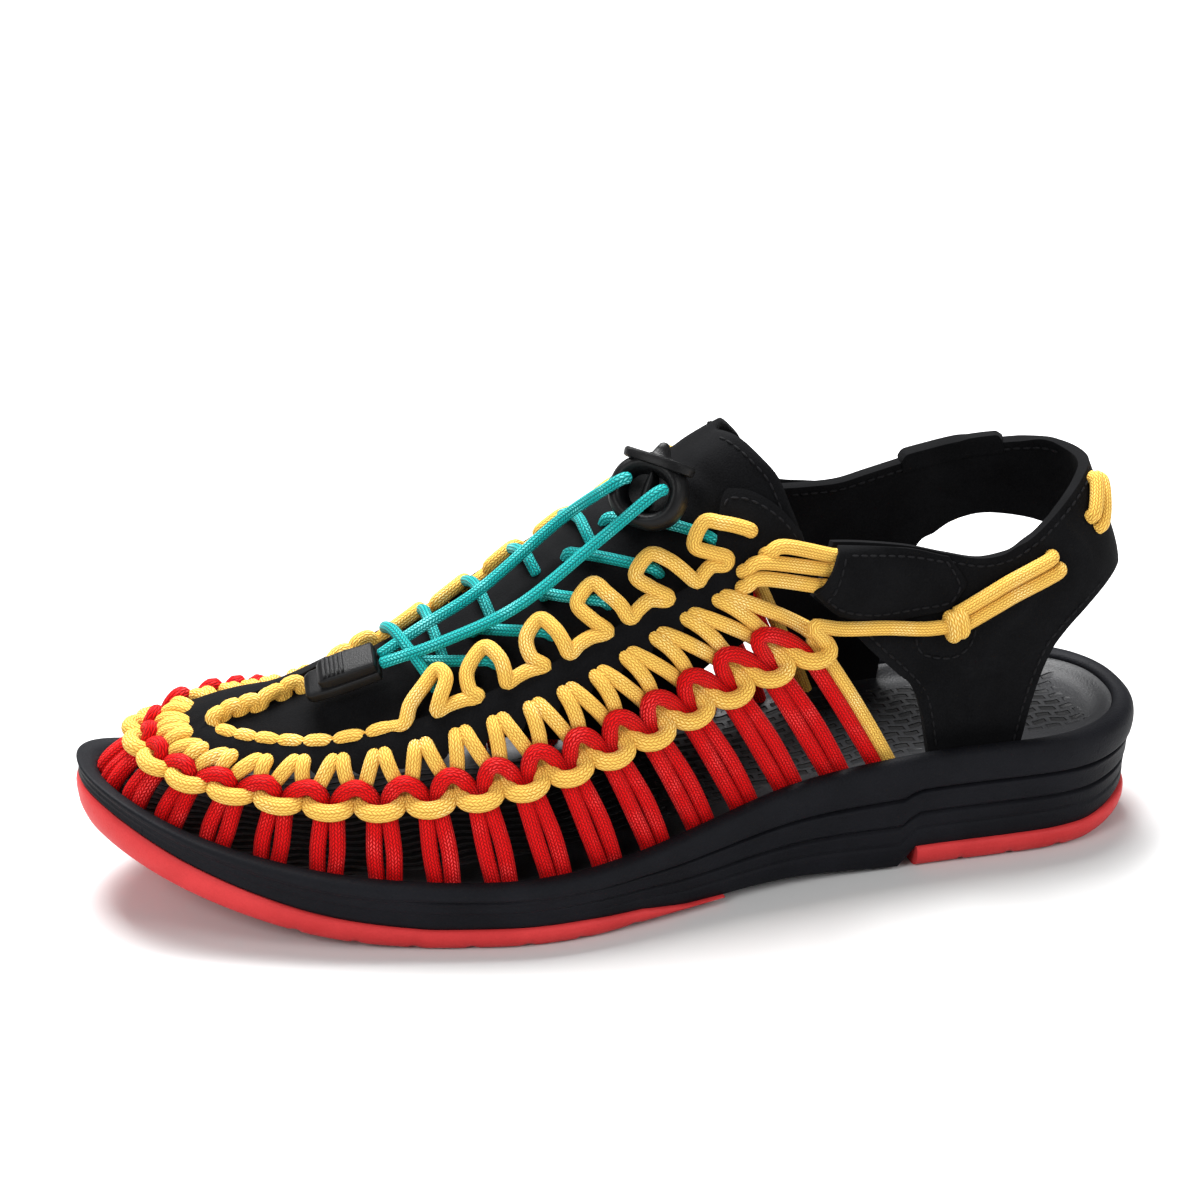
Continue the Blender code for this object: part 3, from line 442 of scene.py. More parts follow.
# Columns: station, level of the ridge.
RIDGE = ((90, 125.0), (120, 113.0), (150, 95.0), (180, 77.5), (210, 63.0), (228, 55.0), (285, 45.0))
RIDGE_FRONT, RIDGE_BLEND = 232.0, 14.0
ARCH_FULL, ARC_STEP, RISE_STEP = 2.1, 0.5, 0.02
# Columns: arc, power of the arch.
ARCH = (
    (-260, 2.1), (-150, 2.1), (-125, 1.9), (-100, 1.5), (-80, 1.4), (-25, 1.4), (5, 1.7), (30, 2.0),
    (45, 2.1), (260, 2.1),
)
# Columns: rib, foot arc, link arc, link rise, hole arc, hole rise.
RIBS = (
    (-17, -226.0, -209.0, 0.25, -185.0, 0.45), (-16, -213.0, -196.0, 0.25, -174.0, 0.45),
    (-12, -156.0, -144.0, 0.26, -127.0, 0.47), (-8, -96.0, -93.0, 0.38, -80.0, 0.59),
    (-6, -67.0, -67.5, 0.46, -55.0, 0.68), (-4, -40.0, -41.0, 0.48, -28.0, 0.69),
    (-3, -27.0, -28.0, 0.46, -14.0, 0.655), (-2, -15.5, -15.5, 0.43, 2.0, 0.615),
    (-1, -5.2, -4.0, 0.41, 12.5, 0.57), (0, 4.8, 6.4, 0.385, 18.5, 0.538),
    (1, 15.0, 16.9, 0.349, 28.4, 0.494), (2, 25.7, 29.5, 0.323, 39.4, 0.488),
    (3, 39.1, 43.2, 0.316, 51.3, 0.487), (4, 54.0, 56.8, 0.308, 63.2, 0.492),
    (5, 68.8, 70.4, 0.291, 74.2, 0.478), (6, 83.9, 83.6, 0.275, 84.9, 0.464),
    (8, 113.0, 108.4, 0.262, 105.4, 0.462), (10, 141.2, 130.9, 0.26, 123.7, 0.46),
    (12, 169.6, 153.6, 0.252, 140.5, 0.454), (14, 196.2, 177.4, 0.245, 157.2, 0.456),
    (16, 222.9, 201.3, 0.249, 175.6, 0.446), (17, 236.0, 213.2, 0.249, 185.0, 0.44),
)
RIB_COUNT = 16
CORD, CORD_SIDES, CURVE_STEPS = 3.9, 14, 12
RED_RADIUS = 2.1
FOOT_SINK = 40.0
END_TAPER, FIRST_WAY = 0.55, (0.31, 0.17, 0.94)
TIP, RUN_REAR = LENGTH - FEATHER, 62.0
RUN_STATIONS = TIP - (TIP - RUN_REAR) * np.linspace(0, 1, 400) ** 2


def feather(station, side):
    """Point of the feather line, where the upper leaves the sole: the outline at FEATHER on the footbed."""
    return np.stack([station - LENGTH / 2, edge(station, side, FEATHER), footbed(station)], -1)


def travel(points):
    """Length along each path from its start, for points of shape (..., count, 3)."""
    steps = np.linalg.norm(np.diff(points, axis=-2), axis=-1)
    return np.concatenate([np.zeros_like(steps[..., :1]), np.cumsum(steps, -1)], -1)


RUN = {side: travel(feather(RUN_STATIONS, side)) for side in (1, -1)}


def station_at(arc):
    """Station at an arc, read from the length run along that side's feather line."""
    lateral = np.interp(np.abs(arc), RUN[1], RUN_STATIONS)
    return np.where(arc >= 0, lateral, np.interp(np.abs(arc), RUN[-1], RUN_STATIONS))


def arc_at(station, side):
    """Arc at a station of one side: station_at turned round."""
    return side * np.interp(-np.asarray(station, float), -RUN_STATIONS, RUN[side])


def skin(arc, rise):
    """Point of the last: a quarter super-ellipse from the feather line (rise 0) to the ridge (rise 1)."""
    station = station_at(arc)
    foot = feather(station, np.where(arc >= 0, 1.0, -1.0))
    top = 0.5 * (station + RIDGE_FRONT - np.sqrt((station - RIDGE_FRONT) ** 2 + RIDGE_BLEND ** 2))
    crest = np.stack([top - LENGTH / 2, smooth(AXIS, 1, top), smooth(RIDGE, 1, top)], -1)
    angle = np.clip(rise, 0, 1) * np.pi / 2
    power = np.minimum(smooth(ARCH, 1, arc), ARCH_FULL)
    inward = 1 - np.maximum(np.cos(angle), 0) ** (2 / power)
    share = np.stack([inward, inward, np.sin(angle) ** (2 / power)], -1)
    return foot * (1 - share) + crest * share


def upper(arc, rise, height):
    """Point at a height above the last, along its normal."""
    arc, rise, height = np.broadcast_arrays(np.asarray(arc, float), rise, height)
    along = skin(arc + ARC_STEP, rise) - skin(arc - ARC_STEP, rise)
    up = skin(arc, np.minimum(rise + RISE_STEP, 1.0)) - skin(arc, np.maximum(rise - RISE_STEP, 0.0))
    normal = np.cross(along, up)
    return skin(arc, rise) + height[..., None] * normal / np.linalg.norm(normal, axis=-1)[..., None]


def weave(rib, lift, height):
    """Point of the weave: lift -1 is a bar's foot, 0 the chain of links and 1 the hole in the band."""
    link, low = smooth(RIBS, 2, rib), smooth(RIBS, 3, rib)
    bar, leg = np.clip(lift, -1, 0), np.maximum(lift, 0)
    arc = link + bar * (link - smooth(RIBS, 1, rib)) + leg * (smooth(RIBS, 4, rib) - link)
    rise = low * (1 + bar) + leg * (smooth(RIBS, 5, rib) - low)
    points = upper(arc, rise, height)
    points[..., 2] += np.minimum(lift + 1, 0) * FOOT_SINK
    return points


def resampled(line, run, at):
    """Points of one path at lengths along it, by straight lines between its points."""
    return np.stack([np.interp(at, run, line[:, n]) for n in range(3)], -1)


def curve(knots, count):
    """Rounded curves through rows of knots (Catmull-Rom), cut into equal steps: shape (cords, count, 3)."""
    knots = np.asarray(knots, float)
    slope = np.gradient(knots, axis=1)
    q = np.linspace(0, 1, CURVE_STEPS, endpoint=False)[None, None, :, None]
    fine = hermite(knots[:, :-1, None], knots[:, 1:, None], slope[:, :-1, None], slope[:, 1:, None], q)
    fine = np.concatenate([fine.reshape(len(knots), -1, 3), knots[:, -1:]], 1)
    lines = zip(fine, travel(fine))
    return np.stack([resampled(line, run, np.linspace(0, run[-1], count)) for line, run in lines])


def sweep(paths, radius=CORD / 2, sides=CORD_SIDES):
    """Round cords along paths of shape (cords, count, 3): rings carried along without twist and rounded ends.
    Corner UVs hold the share of the way round and the length along in millimetres."""
    paths = np.asarray(paths, float)
    cords, count = paths.shape[:2]
    ahead = np.gradient(paths, axis=1)
    ahead /= np.linalg.norm(ahead, axis=2, keepdims=True)
    length = travel(paths)
    normal = np.cross(ahead[:, 0], FIRST_WAY)
    normals = []
    for step in range(count):
        normal = normal - ahead[:, step] * np.sum(normal * ahead[:, step], 1, keepdims=True)
        normal = normal / np.linalg.norm(normal, axis=1, keepdims=True)
        normals.append(normal)
    normals = np.stack(normals, 1)[:, :, None]
    others = np.cross(ahead, normals[:, :, 0])[:, :, None]
    angle = np.linspace(0, 2 * np.pi, sides, endpoint=False)[None, None, :, None]
    radii = np.broadcast_to(radius, (cords, count)).copy()
    radii[:, [0, -1]] *= END_TAPER
    points = paths[:, :, None] + radii[:, :, None, None] * (np.cos(angle) * normals + np.sin(angle) * others)
    quads = grid_faces(count, sides, True)
    start = (np.arange(cords) * count * sides)[:, None, None]
    faces = (quads[None] + start).reshape(-1, 4)
    corner = np.arange(sides)
    around = np.stack([corner, corner + 1, corner + 1, corner], -1) / sides
    around = np.broadcast_to(around, (cords, count - 1, sides, 4))
    run = np.stack([length[:, :-1], length[:, :-1], length[:, 1:], length[:, 1:]], -1)
    run = np.broadcast_to(run[:, :, None], (cords, count - 1, sides, 4))
    uv = np.stack([around, run], -1).reshape(-1, 2)
    first = (start[:, 0] + np.arange(sides)[::-1]).tolist()
    last = (start[:, 0] + (count - 1) * sides + np.arange(sides)).tolist()
    caps = np.zeros((2 * cords * sides, 2))
    return points.reshape(-1, 3), faces.tolist() + first + last, np.concatenate([uv, caps])


def joined(parts):
    """Points, faces and any corner UVs of several meshes as one."""
    points, faces, *uvs = zip(*parts)
    starts = np.cumsum([0] + [len(group) for group in points]).tolist()
    faces = [[n + start for n in face] for group, start in zip(faces, starts) for face in group]
    return [np.concatenate(points), faces] + [np.concatenate(uv) for uv in uvs]


def cords(name, node, slot, finish, *swept):
    """One piece from several swept groups of cords."""
    return put(name, node, slot, finish, 60.0, *joined(swept))


BRAID_STITCHES, BRAID_PITCH, BRAID_SLANT = 16, 1.0, 0.42


def braided(name, crease_shade, face, painted_highlight, roughness, columns=BRAID_STITCHES, pitch=BRAID_PITCH):
    """Braided cord: columns of slanted stitches that lean left and right in turn, each one a small pillow.
    Its colour is painted shade toward each stitch's edges and a painted highlight on its top, broken into
    patches by noise.
    """
    finish = Finish(name, {"Sheen Weight": 0.02, "Sheen Roughness": 0.5, "Specular IOR Level": 0.10})
    around, along = finish.along()
    column = around * columns
    odd = (column.math("FLOOR") * 0.5).math("FRACT") * 2.0
    off = column.math("FRACT") - 0.5
    lean = off * (1.0 - odd * 2.0)
    stitch = (along / pitch + lean * BRAID_SLANT * 2.0 + odd * 0.5).math("FRACT") - 0.5
    pillow = (1.0 - (off * 2.0).math("POWER", 2.0)) * (1.0 - (stitch * 2.0).math("POWER", 2.0))
    fibre = finish.place.noise(2600.0, 2.0)
    highlight_patches = finish.place.noise(120.0, 2.0)
    tone = pillow.math("POWER", 0.6)
    # Painted shade: the colour darkens from each stitch's middle toward its edges and the creases between
    # stitches.
    body = (tone * 0.85 + fibre * 0.25).clamped(0.05, 0.95).mixed(crease_shade, face)
    # Painted highlight: a paler colour on the tops of the stitches, in noise patches.
    lit = (tone * highlight_patches).clamped(0.42, 0.75)
    finish.feed("Base Color", lit.mixed(body, painted_highlight))
    finish.feed("Roughness", roughness - fibre * 0.12)
    finish.bump(tone + fibre * 0.12, 0.00024)
    return finish.material


# Colours: painted shade in the creases, the cord's own red, and a painted highlight.
RED_CORD = braided(
    "red_cord", (0.15, 0.0005, 0.001, 1), (0.74, 0.003, 0.004, 1), (0.98, 0.085, 0.085, 1), 0.62
)
# Columns: rib beyond the bar, lift, height.
BOW = (
    (0.145, -1.12, -0.6), (0.145, -1.0, 0.0), (0.175, -0.62, 0.6), (0.155, -0.28, 0.3), (0.13, -0.06, -0.4),
    (0.15, 0.09, 0.3), (0.22, 0.225, 2.0), (0.34, 0.325, 3.1), (0.50, 0.365, 3.5),
)
FAR_BOW_AT, FAR_BOW_HALF, FAR_BOW_LIFT, FAR_BOW_HEIGHT = -3.9, 2.1, 0.36, 1.6


def with_mirror(rows, shift):
    """Rows of half a loop and its other half: the first column turned about zero, then moved by the shift."""
    rows = np.array(rows)
    return np.concatenate([rows, (rows * (-1, 1, 1) + (shift, 0, 0))[-2::-1]])


bow = with_mirror(BOW, 1)
bars = np.arange(-RIB_COUNT, RIB_COUNT)[:, None]
raised = np.exp(-((bars + 0.5 - FAR_BOW_AT) / FAR_BOW_HALF) ** 4)
raised = raised * np.maximum(bow[:, 1], 0) / bow[:, 1].max()
red_knots = weave(bars + bow[:, 0], bow[:, 1] + FAR_BOW_LIFT * raised, bow[:, 2] + FAR_BOW_HEIGHT * raised)
cords("red_cords", "upper_cord_weave", "red_cord", RED_CORD, sweep(curve(red_knots, 84), RED_RADIUS))

# Yellow cord: the same braid. Each loop hangs from a hole in the band, its two legs go down behind the red
# bows, and it closes in front of a pair of red cords as one link of the chain.
# Colours: painted shade in the creases, the cord's own yellow, and a painted highlight.
YELLOW_CORD = braided(
    "yellow_cord", (0.55, 0.20, 0.015, 1), (0.94, 0.61, 0.125, 1), (1.0, 0.84, 0.40, 1), 0.62
)
# Columns: rib beside the link, lift, height.
LOOP = (
    (-0.12, 1.07, -2.6), (-0.12, 1.03, -0.6), (-0.125, 0.975, 1.6), (-0.15, 0.88, 2.9), (-0.20, 0.74, 3.2),
    (-0.27, 0.56, 2.2), (-0.34, 0.40, 0.2), (-0.385, 0.26, -0.9), (-0.40, 0.13, -0.6), (-0.385, 0.03, 1.0),
    (-0.31, -0.045, 2.8), (-0.16, -0.075, 3.6), (0.0, -0.085, 3.7),
)
LINK_SWELL, LINK_HALF, LOOP_STEPS = 0.32, 0.26, 96
# Columns: rib beyond the bar, lift, height.
LAST_BAR = (
    (0.15, -1.12, -0.6), (0.15, -1.0, 0.0), (0.16, -0.6, 0.5), (0.17, -0.25, 0.3), (0.20, 0.0, -0.3),
    (0.30, 0.12, 0.4),
)
loop = with_mirror(LOOP, 0)
links = np.arange(-RIB_COUNT, RIB_COUNT + 1)[:, None]
loop_knots = weave(links + loop[:, 0], loop[:, 1], loop[:, 2])
loop_radius = CORD / 2 + LINK_SWELL * np.exp(-(np.linspace(-1, 1, LOOP_STEPS) / LINK_HALF) ** 4)
last_bar = np.array(LAST_BAR)
end_bars = np.array([[1], [-1]])
last_knots = weave(end_bars * (RIB_COUNT + last_bar[:, 0]), last_bar[:, 1], last_bar[:, 2])
loops, bars = sweep(curve(loop_knots, LOOP_STEPS), loop_radius), sweep(curve(last_knots, 40))
cords("yellow_cords", "upper_cord_weave", "yellow_cord", YELLOW_CORD, loops, bars)

# Instep band: one U of soft black microfibre round the throat. Its outer edge comes down in teeth between
# the holes that the yellow loops hang from, and both ends finish at the ankle in a rounded lobe.
BAND_LOW, BAND_HIGH, BAND_CROWN = 0.3, 2.5, 0.35
# Columns of the four tables: station, rise.
LOBE_EDGE = (
    (100.6, 0.468), (101.2, 0.456), (103, 0.449), (107, 0.446), (112, 0.446), (118, 0.438), (126, 0.42),
)
LOBE_INSIDE = (
    (100.6, 0.468), (101.0, 0.485), (102.6, 0.512), (105.5, 0.56), (108.9, 0.604), (113, 0.65),
    (117, 0.682),
)
BAND_INSIDE = LOBE_INSIDE + (
    (119.5, 0.69), (121.5, 0.655), (123.5, 0.58), (126, 0.525), (130, 0.512), (138, 0.518), (149, 0.53),
    (165, 0.536), (180, 0.545), (190, 0.543), (205, 0.543), (222, 0.553), (232, 0.572), (243, 0.587),
    (259, 0.597), (264.5, 0.605),
)
MEDIAL_INSIDE = LOBE_INSIDE + (
    (122, 0.70), (130, 0.70), (150, 0.72), (165, 0.745), (180, 0.77), (195, 0.81), (210, 0.87), (222, 0.94),
    (232, 0.97), (277, 0.97),
)
MEDIAL_MOST = 0.97
LOBE_RUN = (0.15, 0.65)
THROAT_TIP = (19.5, 23.5)
TOOTH_LEAST, TOOTH_DEPTH = 0.018, 0.055
BAND_COUNT, BAND_ROWS = 561, 13


def microfibre():
    """Brushed microfibre: near black, a fine nap in the bump and a dusty sheen."""
    look = {"Sheen Weight": 0.014, "Sheen Roughness": 0.45, "Specular IOR Level": 0.04}
    finish = Finish("black_microfibre", look)
    nap = finish.place.noise(2100.0, 3.0, 0.65)
    drift = finish.place.noise(90.0, 3.0)
    shade = (nap * 0.55 + drift * 0.45).clamped(0.30, 0.75)
    finish.feed("Base Color", shade.mixed((0.0026, 0.0026, 0.0030, 1), (0.0066, 0.0068, 0.0076, 1)))
    finish.feed("Roughness", nap * 0.15 + 0.74)
    finish.bump(nap + drift * 0.4, 0.00016)
    return finish.material


MICROFIBRE = microfibre()
EDGE_ANGLE, EDGE_STEPS = np.radians(55), 3


def sheet_piece(name, node, grid, thickness, offset, edge_round, more_faces=()):
    """Microfibre sheet through a grid of points, given thickness and rounded edges by modifiers. More faces
    may close it; an edge_round of zero leaves its edges square."""
    faces = grid_faces(*grid.shape[:2], False).tolist() + list(more_faces)
    piece = put(name, node, "black_microfibre", MICROFIBRE, 60.0, grid, faces)
    thick = piece.modifiers.new("thickness", "SOLIDIFY")
    thick.thickness, thick.offset = thickness * MM, offset
    if edge_round:
        round_edge = piece.modifiers.new("edges", "BEVEL")
        round_edge.width, round_edge.segments = edge_round * MM, EDGE_STEPS
        round_edge.limit_method, round_edge.angle_limit = "ANGLE", EDGE_ANGLE


def band_outside(arc):
    """Rise of the band's outer edge: close under each hole, lower in the teeth between, then the lobe."""
    ribs = np.arange(-RIB_COUNT - 1, RIB_COUNT + 2, dtype=float)
    count = np.interp(arc, smooth(RIBS, 4, ribs), ribs)
    teeth = smooth(RIBS, 5, count) - TOOTH_LEAST - TOOTH_DEPTH * (0.5 - 0.5 * np.cos(2 * np.pi * count))
    lobe = eased(ramp(np.abs(count) - RIB_COUNT, *LOBE_RUN))
    return teeth * (1 - lobe) + smooth(LOBE_EDGE, 1, station_at(arc)) * lobe


def band_inside(arc):
    """Rise of the band's inner edge: low on the lateral side, near the ridge on the medial side and toe."""
    station = station_at(arc)
    medial = np.minimum(smooth(MEDIAL_INSIDE, 1, station), MEDIAL_MOST)
    return medial + (smooth(BAND_INSIDE, 1, station) - medial) * eased(ramp(arc, *THROAT_TIP))


band_ends = [arc_at(LOBE_EDGE[0][0], side) for side in (-1, 1)]
arc, share = np.meshgrid(np.linspace(*band_ends, BAND_COUNT), np.linspace(0, 1, BAND_ROWS))
rise = band_outside(arc) * (1 - share) + band_inside(arc) * share
grid = upper(arc, rise, BAND_HIGH + BAND_CROWN * np.sin(np.pi * share))
sheet_piece("instep_band", "upper_instep_band", grid, BAND_HIGH - BAND_LOW, -1.0, 0.8)

# Tongue: a thin padded sheet of the same microfibre under the lace. It is sewn to the inside of the band and
# stands up above it at the ankle, with a stitched top edge.
TONGUE_TOP, TONGUE_THICK, TONGUE_TUCK = 0.1, 2.0, 2.6
TONGUE_COUNT, TONGUE_ROWS, TONGUE_LEAST, TONGUE_MOST = 281, 26, 0.43, 0.985
# Columns: rise, station of the top edge.
TONGUE_END = (
    (0.40, 99.5), (0.46, 99.9), (0.496, 100.9), (0.581, 103.4), (0.643, 105.0), (0.741, 109.0),
    (0.866, 113.4), (0.93, 115.4), (0.985, 116.9),
)
# Columns of the two tables: station, rise of the lower edge.
TONGUE_LOW = (
    (99, 0.42), (112, 0.43), (124, 0.46), (138, 0.47), (180, 0.49), (205, 0.49), (235, 0.51), (277, 0.58),
)
TONGUE_GUSSET = (
    (99, 0.14), (105, 0.12), (112, 0.10), (118, 0.05), (124, 0.02), (150, 0.02), (170, 0.10), (190, 0.35),
    (205, 0.49), (235, 0.51), (277, 0.58),
)
# Columns: station, height of the padded top above the last.
PUFF = ((99, 1.0), (112, 1.6), (125, 1.2), (140, 0.5), (277, 0.1))
PUFF_RUN, PUFF_RIDGE, PUFF_LOSS, TUCK_RUN = (0.5, 0.8), (0.85, 0.98), 0.8, (0.44, 0.36)
# Columns: station, level, direction in degrees, half length, half width, height.
TONGUE_CREASES = (
    (126, 48.0, 62.0, 9.0, 1.6, 0.55), (134, 52.0, 70.0, 8.0, 1.5, 0.50), (147, 53.0, 75.0, 7.0, 1.4, 0.45),
    (162, 54.0, 80.0, 6.0, 1.4, 0.35), (109, 44.0, 40.0, 7.0, 1.8, 0.40),
)
RISE_LENGTH, CREASE_DIP, CREASE_DIP_AT = 62.0, 0.6, 1.7


def creases(rows, first, second):
    """Height of soft folds: each row gives one bell, long along its direction and narrow across it, with a
    shallower dip beside it."""
    height = np.zeros(np.broadcast(first, second).shape)
    for at, level, turned, half_long, half_wide, deep in rows:
        cos, sin = np.cos(np.radians(turned)), np.sin(np.radians(turned))
        along = ((first - at) * cos + (second - level) * sin) / half_long
        across = ((second - level) * cos - (first - at) * sin) / half_wide
        fold = np.exp(-across ** 2) - CREASE_DIP * np.exp(-(across - CREASE_DIP_AT) ** 2)
        height = height + deep * np.exp(-along ** 2) * fold
    return height


def tongue_height(station, rise):
    """Height of the tongue's top above the last: padded toward the ridge and tucked in under the cords."""
    padded = ramp(rise, *PUFF_RUN) * (1 - PUFF_LOSS * ramp(rise, *PUFF_RIDGE))
    folds = creases(TONGUE_CREASES, station, rise * RISE_LENGTH)
    return smooth(PUFF, 1, station) * padded + folds + TONGUE_TOP - TONGUE_TUCK * ramp(rise, *TUCK_RUN)


# The top edge's place depends on the rise and the rise on the arc, so both are worked out in four rounds.
along, share = np.meshgrid(np.linspace(-1, 1, TONGUE_COUNT), np.linspace(0, 1, TONGUE_ROWS))
rise = TONGUE_LEAST + (TONGUE_MOST - TONGUE_LEAST) * share
for step in range(4):
    end = smooth(TONGUE_END, 1, rise)
    arc = np.where(along >= 0, along * arc_at(end, 1), -along * arc_at(end, -1))
    at = station_at(arc)
    start = np.where(arc >= 0, smooth(TONGUE_LOW, 1, at), smooth(TONGUE_GUSSET, 1, at))
    rise = start + (TONGUE_MOST - start) * share
row = (TONGUE_ROWS - 1) * TONGUE_COUNT
middle = (TONGUE_COUNT - 1) // 2
i = row + np.arange(middle - 1)
opposite = 2 * row + TONGUE_COUNT - 1 - i
ridge_faces = np.stack([i, i + 1, opposite - 1, opposite], -1).tolist()
ridge_faces.append([row + middle - 1, row + middle, row + middle + 1])
grid = upper(arc, rise, tongue_height(at, rise))
sheet_piece("tongue_sheet", "tongue", grid, TONGUE_THICK, -1.0, 0.0, ridge_faces)
SIDES = (("lateral", 1), ("medial", -1))
STITCH, STITCH_POINTS = 2.7, np.linspace(0.14, 0.86, 5)
THREAD_RADIUS, THREAD_LIFT = 0.32, 0.1
THREAD_LOOK = {"Base Color": (0.009, 0.009, 0.010, 1), "Roughness": 0.8, "Specular IOR Level": 0.1}
THREAD = Finish("thread", THREAD_LOOK).material
TONGUE_SEAM, TONGUE_SEAM_IN, LOBE_SEAM, LOBE_SEAM_IN = (0.56, 0.93), 2.6, (102.5, 120.5), 0.03


def seam(name, node, line):
    """Row of thread stitches along a line of points: each is a short cord, with a gap before the next."""
    run = travel(line)
    at = (np.arange(int(run[-1] / STITCH))[:, None] + STITCH_POINTS) * STITCH
    cords(name, node, "black_microfibre", THREAD, sweep(resampled(line, run, at), THREAD_RADIUS, 6))


for name, side in SIDES:
    rise = np.linspace(*TONGUE_SEAM, 80)
    station = smooth(TONGUE_END, 1, rise) + TONGUE_SEAM_IN
    height = tongue_height(station, rise) + THREAD_LIFT
    seam("tongue_seam_" + name, "tongue", upper(arc_at(station, side), rise, height))
    station = np.linspace(*LOBE_SEAM, 60)
    rise = smooth(BAND_INSIDE, 1, station) - LOBE_SEAM_IN
    line = upper(arc_at(station, side), rise, BAND_HIGH + THREAD_LIFT)
    seam("lobe_seam_" + name, "upper_instep_band", line)

# Throat cord: one yellow cord sewn along the inside of the band. It runs in short stitches round the toe,
# then stands up in six loops a side that hold the lace, and ends in a hole in the band's lobe.
LOOP_HEIGHTS = (2.0, 3.2, 4.2, 5.0, 5.2, 4.4, 2.2, 2.2, 2.4, 1.6)
LAST_HEIGHTS = (2.6, 3.4, 4.2, 5.0, 5.6, 5.2, 4.4, 1.0)
# Columns: station, rise. Ten rows make a loop, and eight the last one.
LOOP_PATHS = (
    (206.0, 0.541), (203.7, 0.596), (199.5, 0.639), (195.5, 0.670), (193.9, 0.628), (196.4, 0.574),
    (197.8, 0.545), (194.8, 0.552), (190.8, 0.550), (187.9, 0.540), (187.6, 0.548), (189.2, 0.575),
    (188.5, 0.634), (183.5, 0.674), (180.7, 0.621), (180.2, 0.576), (180.2, 0.547), (177.5, 0.552),
    (174.5, 0.552), (171.2, 0.540), (170.8, 0.546), (173.5, 0.585), (173.4, 0.641), (169.3, 0.666),
    (166.6, 0.616), (165.3, 0.572), (164.2, 0.536), (161.5, 0.546), (158.4, 0.545), (154.8, 0.530),
    (154.4, 0.539), (157.7, 0.590), (160.0, 0.650), (155.4, 0.673), (152.7, 0.621), (150.2, 0.574),
    (148.2, 0.530), (145.9, 0.538), (142.6, 0.541), (138.6, 0.512), (138.0, 0.522), (141.9, 0.568),
    (145.1, 0.624), (140.7, 0.649), (136.7, 0.603), (133.8, 0.559), (130.0, 0.508), (128.3, 0.515),
    (125.8, 0.522), (122.4, 0.503), (121.6, 0.520), (125.5, 0.553), (129.7, 0.598), (126.3, 0.637),
    (122.2, 0.608), (118.3, 0.579), (115.4, 0.556), (114.4, 0.549),
)
MEDIAL_LOOP, MEDIAL_HEIGHT, MEDIAL_SINK, CORD_MOST = 0.5, 0.66, 1.2, 0.975
# Columns: height of a stitch, height in a hole, inward bow of the rise.
NEAR_STITCH, FAR_STITCH = (1.7, -2.4, 0.004), (2.6, -1.2, 0.0)
BOW_SHARES, BOW_SHOULDER, HOLE_OUT = np.array([0.0, 0.2, 0.5, 0.8]), 0.5, 0.02
NEAR_RUN, NEAR_HOLES, RIDGE_HOLES, RIDGE_IN = (262.5, 207.5), 8, (207.0, 214.0, 221.0), 0.02
# Columns: arc, rise.
FAR_EDGE = ((65.2, 0.957), (48.5, 0.935), (33.9, 0.824), (25.3, 0.77), (20.6, 0.70), (22.3, 0.625))


def throat_side(side):
    """Knots of one side's loops from the front of the first to the end of the last. The medial loops keep
    their shape but stand on the medial edge, nearer the ridge."""
    station, rise = np.array(LOOP_PATHS).T
    height = np.array(LOOP_HEIGHTS * 5 + LAST_HEIGHTS)
    arcs = arc_at(station, side)
    if side > 0:
        return upper(arcs, rise, height)
    rise = band_inside(arcs) + MEDIAL_LOOP * (rise - smooth(BAND_INSIDE, 1, station))
    return upper(arcs, np.minimum(rise, CORD_MOST), MEDIAL_HEIGHT * height - MEDIAL_SINK)


def stitched(arcs, rises, top, sunk, inward):
    """Running stitches over holes at the given arcs and rises: down at each hole and up in a bow between."""
    arc = (arcs[:-1, None] + BOW_SHARES * np.diff(arcs)[:, None]).ravel()
    rise = (rises[:-1, None] + BOW_SHARES * np.diff(rises)[:, None]).ravel()
    count = len(arcs) - 1
    lift = np.tile([sunk, top - BOW_SHOULDER, top, top - BOW_SHOULDER], count)
    return upper(arc, rise + np.tile([-HOLE_OUT, 0.0, inward, 0.0], count), lift)


far_stitches = stitched(*np.array(FAR_EDGE).T, *FAR_STITCH)
near_arcs = np.linspace(*arc_at(NEAR_RUN, 1), NEAR_HOLES)
near_stitches = stitched(near_arcs, band_inside(near_arcs), *NEAR_STITCH)
ridge_arcs = arc_at(RIDGE_HOLES, -1)
ridge_stitches = stitched(ridge_arcs, np.minimum(band_inside(ridge_arcs) + RIDGE_IN, CORD_MOST), *FAR_STITCH)
throat = [throat_side(-1)[::-1], ridge_stitches, far_stitches, near_stitches, throat_side(1)]
throat = sweep(curve(np.concatenate(throat)[None], 1100))
cords("throat_cords", "throat_cord", "yellow_cord", YELLOW_CORD, throat)

# Lace: thin round elastic in a teal braided cover. It crosses the tongue through the loops, and its two ends
# go up through the cord lock and come down as free tails into the clip.
LACE, LACE_SIDES = 3.0, 12
# Colours: painted shade in the creases, the lace's own teal, and a painted highlight.
TEAL = braided(
    "teal_lace", (0.002, 0.07, 0.07, 1), (0.008, 0.40, 0.39, 1), (0.22, 0.82, 0.82, 1), 0.5, 10, 0.9
)
